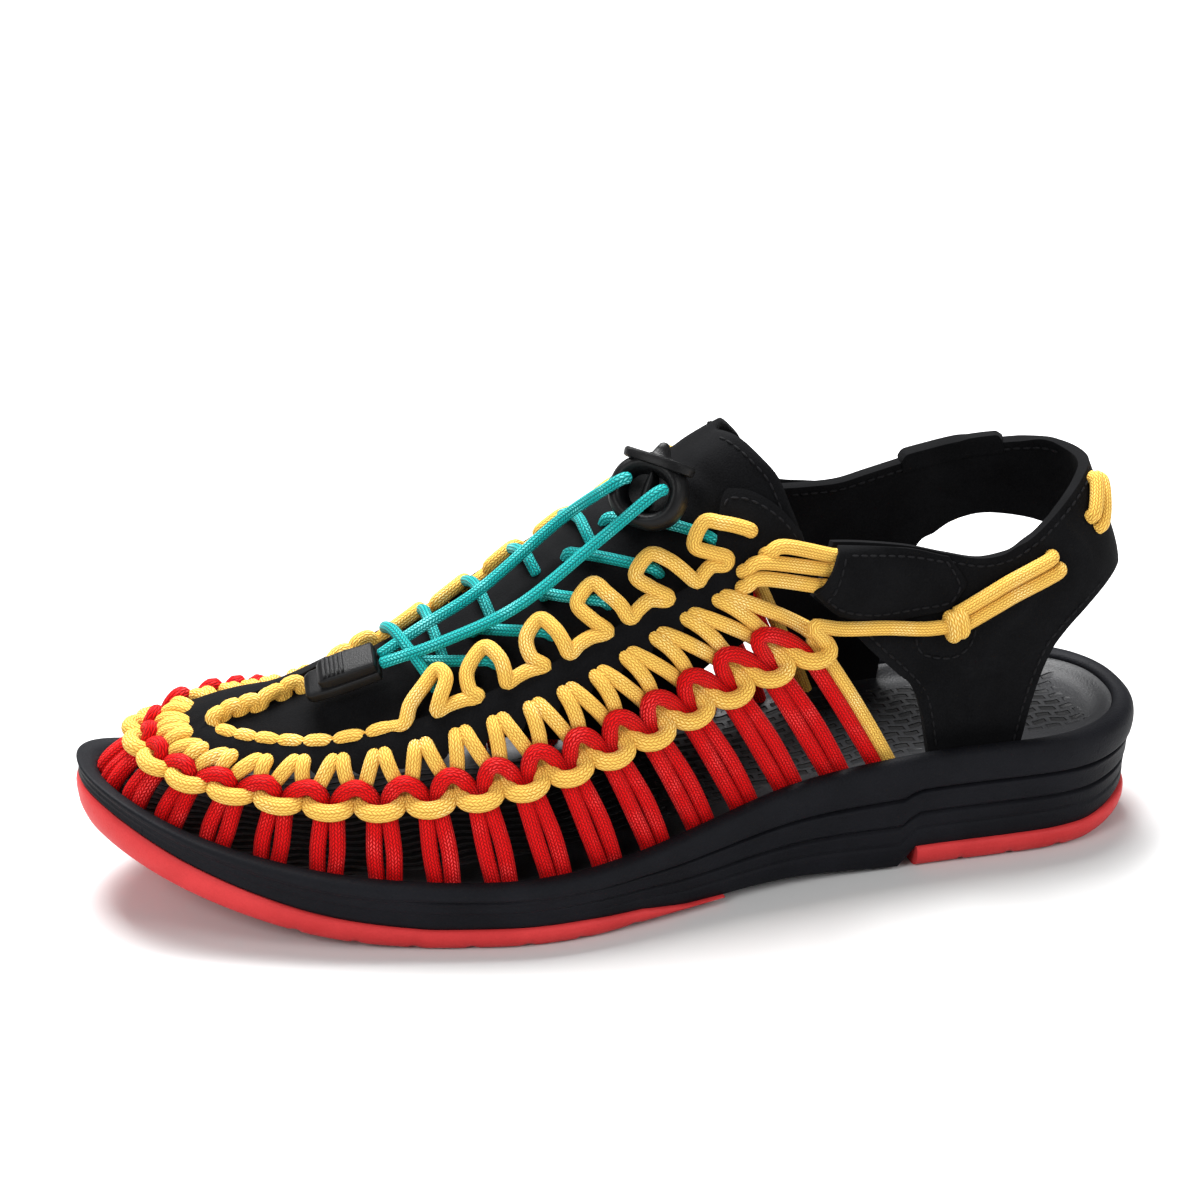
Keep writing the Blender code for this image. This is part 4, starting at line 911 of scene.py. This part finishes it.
# Columns of the two tables: loop station, loop rise, inner station, inner rise.
NEAR_STRANDS = (
    (183.3, 0.641, 199.0, 0.762), (168.9, 0.634, 185.0, 0.791), (153.7, 0.616, 167.0, 0.764),
    (140.2, 0.610, 159.2, 0.858), (125.0, 0.591, 148.2, 0.892),
)
FAR_STRANDS = (
    (194.0, 0.79, 194.2, 0.75), (181.0, 0.755, 180.6, 0.81), (168.0, 0.735, 167.4, 0.88),
    (154.0, 0.71, 153.2, 0.84), (140.0, 0.70, 139.0, 0.86),
)
FAR_HEIGHTS = (-0.6, 1.6, 2.0, 2.0, 2.0, 1.8, -0.8)
STRAND_RUN, STRAND_POINTS, STRAND_BOW, STRAND_DIP = (-0.12, 1.1), 11, 3.6, 4.5
STRAND_HEIGHT, STRAND_FALL, RIDGE_LATERAL, RIDGE_MEDIAL = 2.6, 0.9, 0.97, 0.95
# Columns: station, rise, height, side.
FRONT_STRAND = (
    (197.2, 0.625, 0.6, 1), (197.9, 0.665, 3.0, 1), (200.6, 0.78, 6.6, 1), (202.4, 0.87, 7.6, 1),
    (204.0, 0.945, 5.8, 1), (204.2, 0.93, 2.8, -1), (203.2, 0.88, 2.2, -1), (202.4, 0.84, 1.4, -1),
    (202.0, 0.82, -0.8, -1),
)


def strand_points(stations, rises, heights, sides):
    """Points over the tongue; sides hold 1 for the lateral half and -1 for the medial half."""
    arcs = np.where(np.asarray(sides) > 0, arc_at(stations, 1), arc_at(stations, -1))
    return upper(arcs, np.asarray(rises, float), np.asarray(heights, float))


def near_strands():
    """Each climbs in a shallow bow from a lateral loop to a hole in the tongue, and dips at both ends."""
    loop_at, loop_rise, inner_at, inner_rise = np.array(NEAR_STRANDS).T[:, :, None]
    share = np.linspace(*STRAND_RUN, STRAND_POINTS)
    inside = ramp(share, 0.0, 1.0)
    station = loop_at + (inner_at - loop_at) * share + STRAND_BOW * inside * (1 - inside)
    dip = STRAND_DIP * np.linspace(-1, 1, STRAND_POINTS) ** 10
    rise = loop_rise + (inner_rise - loop_rise) * share
    return strand_points(station, rise, STRAND_HEIGHT - STRAND_FALL * share - dip, 1)


def far_strands():
    """Each goes from a medial loop over the ridge and down a little on the lateral side."""
    loop_at, loop_rise, inner_at, inner_rise = np.array(FAR_STRANDS).T[:, :, None]
    over = np.array([0, 0, 0, 0, 1, 1, 1])
    climb = [loop_rise - 0.03, loop_rise + 0.02, 0.5 * loop_rise + 0.46, 0 * loop_rise + RIDGE_MEDIAL]
    fall = [0 * inner_rise + RIDGE_LATERAL, 0.5 * (inner_rise + RIDGE_LATERAL), inner_rise]
    station = loop_at + (inner_at - loop_at) * over
    return strand_points(station, np.concatenate(climb + fall, 1), FAR_HEIGHTS, 2 * over - 1)


front_strand = strand_points(*np.array(FRONT_STRAND).T)[None]
strands = ((near_strands(), 60), (far_strands(), 60), (front_strand, 90))
strands = [sweep(curve(knots, count), LACE / 2, LACE_SIDES) for knots, count in strands]
cords("lace_crossings", "lace_bars", "teal_lace", TEAL, *strands)
LOCK_AT = np.array([-2.7, 19.9, 108.3])
CLIP_AT = np.array([76.4, 13.4, 64.3])


def unit(vector):
    """Vector of length one along the given one."""
    return np.asarray(vector, float) / np.linalg.norm(vector)


def square_to(vector, axis):
    """Unit vector along the part of the given one that is square to an axis."""
    return unit(np.asarray(vector, float) - axis * np.dot(vector, axis))


HOLE_AXIS = unit((0.50, 0.75, 0.43))
BUTTON_AXIS = square_to((-0.414, -0.247, 0.871), HOLE_AXIS)
LOCK_SIDE = np.cross(BUTTON_AXIS, HOLE_AXIS)
CLIP_AXIS = unit((0.90, -0.25, -0.34))
CLIP_NORMAL = square_to((0.40, 0.27, 0.88), CLIP_AXIS)
CLIP_ACROSS = np.cross(CLIP_NORMAL, CLIP_AXIS)
HOLE_APART, LOCK_DEPTH, TAIL_APART, CLIP_BACK = 10.0, 10.0, 3.0, 10.3
TAIL_REACH, TAIL_TURN = (0.4, 2.2, 4.0), 0.2
TAILS = {
    "lateral": ((12.0, 23.0, 96.4), (32.6, 23.2, 81.5), (52.4, 20.6, 72.6)),
    "medial": ((18.0, 8.6, 97.4), (40.0, 12.4, 82.4), (55.9, 13.4, 74.2)),
}


def tail_path(side, middle):
    """Route of a tail: out of its hole in the lock, over the lace and into the back of the clip."""
    hole = LOCK_AT + LOCK_SIDE * side * HOLE_APART / 2
    starts = [hole + HOLE_AXIS * (LOCK_DEPTH / 2 + reach) for reach in TAIL_REACH]
    starts[2] = (1 - TAIL_TURN) * starts[2] + TAIL_TURN * np.array(middle[0])
    beside = CLIP_ACROSS * np.sign(CLIP_ACROSS[1]) * side * TAIL_APART / 2
    return curve(np.array([*starts, *middle, CLIP_AT - CLIP_AXIS * CLIP_BACK + beside])[None], 140)


tails, routes = {}, {}
for name, side in SIDES:
    path = tail_path(side, TAILS[name])
    routes[name] = (path[0] + (0.0, SIDE_SHIFT, 0.0)) * MM
    tail = sweep(path, LACE / 2, LACE_SIDES)
    tails[name] = cords("lace_end_" + name, "lace_tail_" + name, "teal_lace", TEAL, tail)

# Cord lock: a moulded black ring, a web that parts its two openings for the lace, and a sprung button on top
# that grips it. A small clip of the same plastic closes over the two tail ends.
LOCK_DROP = 1.4
# Columns of the two tables: along the holes, half width, half height.
PUCK = (
    (-5.0, 7.5, 7.0), (-4.6, 8.8, 8.3), (-3.4, 9.7, 9.2), (-1.0, 10.0, 9.4), (1.5, 10.0, 9.4),
    (3.4, 9.6, 9.0), (4.6, 8.7, 8.1), (5.0, 7.8, 7.2), (4.7, 7.0, 6.3), (3.6, 6.4, 5.6), (1.2, 5.9, 5.0),
    (-0.5, 5.4, 4.5), (-0.8, 3.0, 2.5),
)
WEB = ((-1.2, 2.0, 5.2), (2.2, 1.2, 5.2), (3.2, 0.8, 5.2), (3.5, 0.4, 5.0))


def moulded_plastic():
    """Satin moulded plastic: near black, a fine spark grain and faint handling wear."""
    finish = Finish("black_plastic", {"Specular IOR Level": 0.14})
    grain = finish.place.noise(3200.0, 2.0)
    wear = finish.place.noise(140.0, 3.0)
    shade = (wear * 0.7 + grain * 0.3).clamped(0.3, 0.75)
    finish.feed("Base Color", shade.mixed((0.0035, 0.0035, 0.0038, 1), (0.0070, 0.0070, 0.0076, 1)))
    finish.feed("Roughness", wear * 0.18 + 0.30)
    finish.bump(grain, 0.00007)
    return finish.material


BLACK_PLASTIC = moulded_plastic()


def lofted(centre, axis, first, second, rows, power, sides):
    """Super-ellipse rings along an axis: rows hold the place along the axis and the two half sizes."""
    angle = np.linspace(0, 2 * np.pi, sides, endpoint=False)
    cos, sin = np.cos(angle), np.sin(angle)
    wide = np.sign(cos) * np.abs(cos) ** (2 / power)
    tall = np.sign(sin) * np.abs(sin) ** (2 / power)
    rows = np.array(rows, float)
    points = centre + rows[:, 0, None, None] * axis + rows[:, 1, None, None] * wide[:, None] * first
    points = points + rows[:, 2, None, None] * tall[:, None] * second
    faces = grid_faces(len(rows), sides, True).tolist()
    last = (len(rows) - 1) * sides
    faces += [list(range(sides))[::-1], list(range(last, last + sides))]
    return points.reshape(-1, 3), faces


LOCK_BODY = LOCK_AT - BUTTON_AXIS * LOCK_DROP
lock_parts = [
    lofted(LOCK_BODY, HOLE_AXIS, LOCK_SIDE, BUTTON_AXIS, PUCK, 2.2, 72),
    lofted(LOCK_BODY, HOLE_AXIS, LOCK_SIDE, BUTTON_AXIS, WEB, 2.4, 32),
]
put("lock_barrel", "cord_lock_body", "black_plastic", BLACK_PLASTIC, 50.0, *joined(lock_parts))
# Columns: along the button, half width, half depth.
BUTTON_ROWS = (
    (6.8, 8.6, 5.6), (7.1, 9.3, 6.2), (8.7, 9.5, 6.4), (9.4, 9.0, 6.0), (9.6, 3.2, 2.6), (10.0, 2.5, 2.1),
    (11.6, 1.8, 1.6), (12.8, 1.2, 1.1), (13.2, 0.5, 0.5),
)
button_mesh = lofted(LOCK_BODY, BUTTON_AXIS, LOCK_SIDE, -HOLE_AXIS, BUTTON_ROWS, 2.4, 56)
put("lock_button", "cord_lock_button", "black_plastic", BLACK_PLASTIC, 40.0, *button_mesh)
# Columns of the three tables: along the clip, half width, half thickness.
TRAY = (
    (-10.0, 4.2, 1.2), (-9.6, 4.7, 1.6), (-4.0, 5.1, 1.7), (3.0, 5.2, 1.7), (8.4, 4.7, 1.6),
    (9.6, 4.0, 1.3), (10.0, 3.4, 0.9),
)
LID = (
    (-9.8, 3.8, 1.3), (-9.4, 4.3, 1.7), (-2.0, 4.5, 1.9), (3.6, 4.3, 1.9), (4.8, 4.0, 1.5), (5.6, 3.4, 0.7),
)
RIDGE_BAR = ((-0.36, 3.3, 0.25), (-0.3, 3.5, 0.45), (0.3, 3.5, 0.45), (0.36, 3.3, 0.25))
RIDGE_PLACES = (3.3, 2.1, 0.9, -0.3, -1.5)
# Columns: height over the clip's middle, place along it, rows, power, sides.
CLIP_PARTS = [(-1.4, 0.0, TRAY, 6.0, 64), (1.5, 0.0, LID, 6.0, 64)]
CLIP_PARTS += [(3.45, place, RIDGE_BAR, 5.0, 40) for place in RIDGE_PLACES]
clip_parts = []
for height, place, rows, power, sides in CLIP_PARTS:
    at = CLIP_AT + CLIP_NORMAL * height + CLIP_AXIS * place
    clip_parts.append(lofted(at, CLIP_AXIS, CLIP_ACROSS, CLIP_NORMAL, rows, power, sides))
clip = put("clip_shell", "lace_clip", "black_plastic", BLACK_PLASTIC, 40.0, *joined(clip_parts))

# Heel strap: a sling of folded microfibre round the back of the ankle. A leg on each side goes down into the
# sole, and the ends run forward under sewn pockets. A folded tab is sewn to the top edge on the medial side.
STRAP_START, STRAP_END, STRAP_SLANT, STRAP_HALF = 8.0, 98.0, 6.0, 1.5
STRAP_ROUND, STRAP_POWER, LEG_FOOT = 36.0, 2.2, 24.6
STATION_STEP, LEVEL_STEP = 0.3, 0.4
# Columns: level, station of the back.
STRAP_BACK = ((24, 12.0), (55, 8.5), (70, 6.2), (85, 10.5), (98, 15.5))
# Columns: level, half width.
STRAP_WIDTH = ((24, 26.2), (40, 26.4), (60, 25.8), (80, 24.0), (98, 21.0))
# Columns of the four tables: station, level.
LATERAL_LOW = (
    (8, 70.5), (12, 70.0), (16.2, 68.2), (23.4, 63.2), (28.6, 58.2), (31.4, 54.3), (34.5, 46.0),
    (36.4, 37.8), (37.9, 28.2), (38.8, 24.6), (45, 24.6), (63.2, 24.6), (64.6, 29.8), (66.3, 37.9),
    (69, 46.1), (75.1, 53.1), (81.7, 59.3), (90.1, 68.5), (98, 76.0),
)
LATERAL_TOP = (
    (8, 98.3), (11.8, 97.5), (18, 94.8), (27.2, 90.0), (35.8, 85.4), (45.3, 81.9), (50.4, 81.4),
    (60.6, 83.7), (70.1, 86.5), (77.3, 87.9), (91.3, 89.7), (98, 90.0),
)
MEDIAL_LOW = (
    (8, 70.5), (12, 71.5), (18, 73.0), (25, 74.5), (32, 75.0), (38, 74.5), (43, 73.0), (47, 70.5),
    (53, 65.0), (56.5, 52.0), (59, 36.0), (60.5, 24.6), (65, 24.6), (81, 24.6), (84, 36.0), (88, 45.0),
    (93, 52.0), (98, 58.0),
)
MEDIAL_TOP = (
    (8, 98.3), (12, 99.0), (18, 98.2), (25, 97.2), (32, 96.4), (38, 95.6), (46, 94.3), (52, 93.3),
    (58, 92.0), (66, 90.2), (73, 88.6), (83, 88.3), (98, 89.0),
)


def strap_skin(station, side, level):
    """Middle surface of the strap: an oval sling in plan whose back and width follow the level."""
    back = smooth(STRAP_BACK, 1, level)
    at = back + (station - STRAP_START) * (STRAP_END - back) / (STRAP_END - STRAP_START)
    closing = rounded(ramp(at - back, STRAP_ROUND, 0.0), STRAP_POWER)
    return np.stack([at - LENGTH / 2, side * smooth(STRAP_WIDTH, 1, level) * closing, level], -1)


def strap_level(station, side, share):
    """Level at a share of the way from the strap's lower edge to its upper edge."""
    low = np.where(side > 0, smooth(LATERAL_LOW, 1, station), smooth(MEDIAL_LOW, 1, station))
    top = np.where(side > 0, smooth(LATERAL_TOP, 1, station), smooth(MEDIAL_TOP, 1, station))
    return np.maximum(low, LEG_FOOT) * (1 - share) + top * share


def strap_point(station, side, level, height):
    """Point at a height outside the strap's middle surface, along the cross of its length and its wall."""
    station, side, level, height = np.broadcast_arrays(np.asarray(station, float), side, level, height)
    inside = np.maximum(station - STATION_STEP, STRAP_START)
    around = strap_skin(station + STATION_STEP, side, level) - strap_skin(inside, side, level)
    up = strap_skin(station, side, level + LEVEL_STEP) - strap_skin(station, side, level - LEVEL_STEP)
    normal = np.cross(up, around) * side[..., None]
    normal /= np.maximum(np.linalg.norm(normal, axis=-1), 1e-9)[..., None]
    return strap_skin(station, side, level) + height[..., None] * normal


turn, share = np.meshgrid(np.linspace(1, -1, 361), np.linspace(0, 1, 32))
end = STRAP_END - STRAP_SLANT * share
station = STRAP_START + (end - STRAP_START) * np.abs(turn) ** 2
side = np.where(turn >= 0, 1.0, -1.0)
# Columns: station, level, direction in degrees, half length, half width, height.
STRAP_CREASES = (
    (74, 62.0, 55.0, 8.0, 2.0, 0.55), (67, 50.0, 75.0, 9.0, 2.0, 0.45), (44, 66.0, 130.0, 8.0, 2.2, 0.50),
    (38, 79.0, 20.0, 8.0, 2.0, 0.45), (24, 82.0, 60.0, 7.0, 2.0, 0.45), (58, 40.0, 85.0, 7.0, 2.0, 0.35),
)
level = strap_level(station, side, share)
grid = strap_point(station, side, level, creases(STRAP_CREASES, station, level))
sheet_piece("heel_strap", "upper_heel_strap", grid, 2 * STRAP_HALF, 0.0, 0.9)
TAB_FROM, TAB_TO, TAB_RISE, TAB_DEEP, TAB_THICK = 24.0, 55.0, 2.2, 3.0, 0.8
TAB_CORNER, TAB_CORNER_DROP = 2.2, 1.6
station, share = np.meshgrid(np.linspace(TAB_TO, TAB_FROM, 60), np.linspace(0, 1, 14))
corner = ramp(np.minimum(station - TAB_FROM, TAB_TO - station), 0.0, TAB_CORNER)
tall = TAB_DEEP + TAB_RISE - TAB_CORNER_DROP * (1 - corner) ** 2
grid = strap_skin(station, -1.0, smooth(MEDIAL_TOP, 1, station) - TAB_DEEP + tall * share)
sheet_piece("collar_tab", "upper_heel_strap", grid, 2 * STRAP_HALF + TAB_THICK, 0.0, 1.2)
SEAM_IN, SEAM_UP, SEAM_RUN = 2.1, 1.2, (10, 90)
# Columns: name, side, top edge, 1 for the outer face and -1 for the inner one.
TOP_SEAMS = (
    ("outer_lateral", 1, LATERAL_TOP, 1), ("outer_medial", -1, MEDIAL_TOP, 1),
    ("inner_medial", -1, MEDIAL_TOP, -1),
)
for name, side, top, face in TOP_SEAMS:
    station = np.linspace(*SEAM_RUN, 200)
    line = strap_point(station, side, smooth(top, 1, station) - SEAM_IN, face * (STRAP_HALF + THREAD_LIFT))
    seam("strap_seam_" + name, "upper_heel_strap", line)
SLOT_SEAM = ((70.5, 62.4), (69.8, 59.8), (67.5, 57.2), (60.5, 55.6), (56.0, 57.6), (54.6, 60.6), (54.2, 64.0))
# Columns: name, side, places, shift of their stations and of their levels.
EDGE_SEAMS = (
    ("leg_seam_lateral_rear", 1, LATERAL_LOW[2:9], SEAM_IN, SEAM_UP),
    ("leg_seam_lateral_front", 1, LATERAL_LOW[12:18], -SEAM_IN, SEAM_UP),
    ("leg_seam_medial_rear", -1, MEDIAL_LOW[6:11], SEAM_IN, SEAM_UP),
    ("leg_seam_medial_front", -1, MEDIAL_LOW[14:18], -SEAM_IN, SEAM_UP),
    ("slot_seam_lateral", 1, SLOT_SEAM, 0.0, 0.0), ("slot_seam_medial", -1, SLOT_SEAM, 0.0, 0.0),
)
for name, side, places, forward, up in EDGE_SEAMS:
    station, level = np.array(places).T
    knots = strap_point(station + forward, side, level + up, STRAP_HALF + THREAD_LIFT)
    seam(name, "upper_heel_strap", curve(knots[None], 120)[0])

# Strap pockets: a folded patch on each end of the strap, sewn round its edge. The ankle cords run in under
# its raised front edge.
POCKET_THICK, POCKET_FLAT, POCKET_OPEN, POCKET_OPEN_FROM = 1.2, 1.0, 4.9, 0.35
OPEN_POWER, SWELL_POWER = 1.6, 0.3
# Columns of the two tables: station, level.
POCKET_LOW = ((57, 72.2), (61.3, 69.6), (70, 68.2), (85.7, 68.3), (92.6, 71.2), (99.3, 78.2))
POCKET_HIGH = ((57, 82.2), (60.6, 83.1), (70, 86.0), (77.3, 87.4), (91.3, 89.2), (99.3, 90.0))
# Columns of the two tables: share of the way up, station.
POCKET_FRONT = ((0.0, 99.3), (1.0, 91.3))
POCKET_REAR = ((0.0, 61.5), (0.25, 57.4), (0.6, 57.8), (1.0, 60.6))
# Columns: along, share.
POCKET_SEAM = np.array(((0.93, 0.86), (0.93, 0.12), (0.05, 0.12), (0.05, 0.88), (0.93, 0.88)))


def pocket_point(along, share, side, height):
    """Point over a pocket: along runs from its rear to its open front edge, share from its low to its high
    edge, and the front swells out between them."""
    rear = smooth(POCKET_REAR, 1, share)
    station = rear + (linear(POCKET_FRONT, share) - rear) * along
    level = smooth(POCKET_LOW, 1, station) * (1 - share) + smooth(POCKET_HIGH, 1, station) * share
    opened = ramp(along, POCKET_OPEN_FROM, 1.0) ** OPEN_POWER
    opened = opened * np.maximum(np.sin(np.pi * share), 0) ** SWELL_POWER
    return strap_point(station, side, level, STRAP_HALF + POCKET_FLAT + POCKET_OPEN * opened + height)


for name, side in SIDES:
    along, share = np.meshgrid(np.linspace(1, 0, 60), np.linspace(0, 1, 20))
    grid = pocket_point(along, share, side, 0.0)[:, ::side]
    sheet_piece("pocket_" + name, "strap_pocket_" + name, grid, POCKET_THICK, -1.0, 0.5)
    corners = np.arange(len(POCKET_SEAM))
    along, share = [np.interp(np.linspace(0, corners[-1], 240), corners, line) for line in POCKET_SEAM.T]
    line = pocket_point(along, share, side, THREAD_LIFT)
    seam("pocket_seam_" + name, "strap_pocket_" + name, line)

# Ankle cords: three cords a side, of the same yellow braid. They come out of holes in the band's lobe and run
# back in under the front edge of the pocket on the strap.
ANKLE_LIFT = STRAP_HALF + CORD / 2 - 0.4
# Columns: band station, band rise, strap station, strap level.
ANKLE = ((110.7, 0.481, 93.2, 86.7), (116.9, 0.469, 95.2, 83.4), (117.6, 0.436, 97.6, 79.4))
OUT_OF_HOLE, OUT_HEIGHT = np.array([1.6, 0.0, -4.0]), np.array([0.4, 3.7, 4.5])
INTO_POCKET, POCKET_DROP = np.array([0.0, 1.5, 3.0]), np.array([0.0, 0.2, 0.4])
for name, side in SIDES:
    lines = []
    for start, rise, end, level in ANKLE:
        first = upper(arc_at(start + OUT_OF_HOLE, side), rise, OUT_HEIGHT)
        last = strap_point(end - INTO_POCKET, side, level - POCKET_DROP, ANKLE_LIFT)
        lines.append(np.concatenate([first, last]))
    swept = sweep(curve(lines, 70))
    cords("ankle_" + name, "ankle_cords_" + name, "yellow_cord", YELLOW_CORD, swept)

# Heel lashes: the end of the yellow chain crosses the strap's leg to a wrapped knot, and goes on doubled to a
# slot at the back. A second doubled cord ties the sling together behind the heel.
LASH_LIFT = STRAP_HALF + CORD / 2 + 0.2
# Columns: rib, lift, height.
LASH_START = ((16.32, -0.06, 0.6), (16.42, 0.10, 3.2), (16.56, 0.25, 4.7))
# Columns of the two tables: station, level.
LASH = ((91.0, 67.5), (79.4, 66.5), (69.0, 65.1), (61.0, 65.1))
DOUBLED = ((60.5, 66.2), (56.2, 68.1), (50.5, 70.8), (45.0, 73.3), (38.5, 75.7), (33.0, 77.5), (31.4, 78.0))
DOUBLED_LIFT = LASH_LIFT * np.array([1.0, 1.0, 1.0, 1.0, 1.0, 0.95, 0.35])
DOUBLED_APART, DOUBLED_SHIFT = 0.92, 0.7
KNOT_AT, KNOT_HALF, KNOT_LIFT, KNOT_LEAN = (60.4, 65.4), 2.5, 1.9, 0.5
KNOT_TURNS, KNOT_DROP = (-0.9, 1.2), 0.4
# Columns: station, level, height.
BACK_LASH = (
    ((12.0, 95.2, -0.3), (12.6, 94.0, 1.7), (14.8, 90.5, 2.0), (17.0, 87.2, 1.7), (17.6, 86.2, -0.3)),
    ((9.4, 93.6, -0.3), (10.2, 92.2, 1.7), (12.8, 88.0, 2.0), (15.3, 83.9, 1.7), (16.0, 82.8, -0.3)),
)
turn = np.linspace(0, 2 * np.pi, 17)
for name, side in SIDES:
    rib, lift, height = np.array(LASH_START).T
    station, level = np.array(LASH).T
    single = strap_point(station, side, level, LASH_LIFT)
    parts = [sweep(curve(np.concatenate([weave(side * rib, lift, height), single])[None], 90))]
    station, level = np.array(DOUBLED).T
    for apart in (-DOUBLED_APART, DOUBLED_APART):
        path = strap_point(station + apart * DOUBLED_SHIFT, side, level + apart * CORD / 2, DOUBLED_LIFT)
        parts.append(sweep(curve(path[None], 60)))
    for shift in KNOT_TURNS:
        station = KNOT_AT[0] + shift + KNOT_LEAN * np.cos(turn)
        level = KNOT_AT[1] - KNOT_DROP * shift + KNOT_HALF * np.cos(turn)
        knot = strap_point(station, side, level, LASH_LIFT + KNOT_LIFT * np.sin(turn))
        parts.append(sweep(curve(knot[None], 44)))
    cords("heel_lash_" + name + "_cords", "heel_lash_" + name, "yellow_cord", YELLOW_CORD, *parts)
station, level, height = np.moveaxis(np.array(BACK_LASH), 2, 0)
back = sweep(curve(strap_point(station, 1, level, STRAP_HALF + height), 40))
cords("heel_lash_back_cords", "heel_lash_back", "yellow_cord", YELLOW_CORD, back)

# Setting: a white seamless floor, a camera from the lateral front with a long lens, and soft light from one
# large lamp over the far side and two weak ones on the near side.
CAMERA_AT = np.array([3.5, -5.2, 69.0])
CAMERA_TURN, CAMERA_LIFT, CAMERA_FAR, CAMERA_LENS = 164.0, 22.0, 1000.0, 115.4
FLOOR_HALF = 6000.0
FLOOR_LOOK = {"Base Color": (0.66, 0.66, 0.66, 1), "Roughness": 0.9, "Specular IOR Level": 0.1}
WORLD_STRENGTH = 0.32
floor_finish = Finish("floor", FLOOR_LOOK)
floor_mesh = bpy.data.meshes.new("floor")
corners = np.array([(-1, -1, 0), (1, -1, 0), (1, 1, 0), (-1, 1, 0)]) * FLOOR_HALF * MM
floor_mesh.from_pydata(corners.tolist(), [], [(0, 1, 2, 3)])
floor_mesh.materials.append(floor_finish.material)
floor = bpy.data.objects.new("floor", floor_mesh)
bpy.context.scene.collection.objects.link(floor)
world = bpy.data.worlds.new("studio")
world.use_nodes = True
background = world.node_tree.nodes["Background"].inputs
background["Color"].default_value = (1.0, 1.0, 1.0, 1)
background["Strength"].default_value = WORLD_STRENGTH
bpy.context.scene.world = world
bpy.context.scene.view_settings.view_transform = "Standard"
bpy.context.scene.view_settings.look = "None"


def aimed(name, data, place):
    """Object with this lamp or camera at a place in millimetres, its -Z turned to the middle of the view."""
    item = bpy.data.objects.new(name, data)
    spot = np.array(place) * MM
    turn = Vector(CAMERA_AT * MM - spot).to_track_quat("-Z", "Y").to_matrix().to_4x4()
    item.matrix_world = Matrix.Translation(spot) @ turn
    bpy.context.scene.collection.objects.link(item)
    return item


# Columns: place, size, watts.
LAMPS = (
    ((60.0, -620.0, 1300.0), 900.0, 58.0), ((900.0, 800.0, 800.0), 600.0, 9.0),
    ((-900.0, 900.0, 700.0), 600.0, 7.0),
)
for n, (place, size, watts) in enumerate(LAMPS):
    lamp = bpy.data.lights.new("lamp_%d" % n, "AREA")
    lamp.energy, lamp.size = watts, size * MM
    aimed("lamp_%d" % n, lamp, place)
azimuth = np.radians(CAMERA_TURN - 90.0)
lift = np.radians(CAMERA_LIFT)
toward = np.array([np.cos(lift) * np.cos(azimuth), np.cos(lift) * np.sin(azimuth), np.sin(lift)])
camera = bpy.data.cameras.new("camera")
camera.lens = CAMERA_LENS
bpy.context.scene.camera = aimed("camera", camera, CAMERA_AT + toward * CAMERA_FAR)
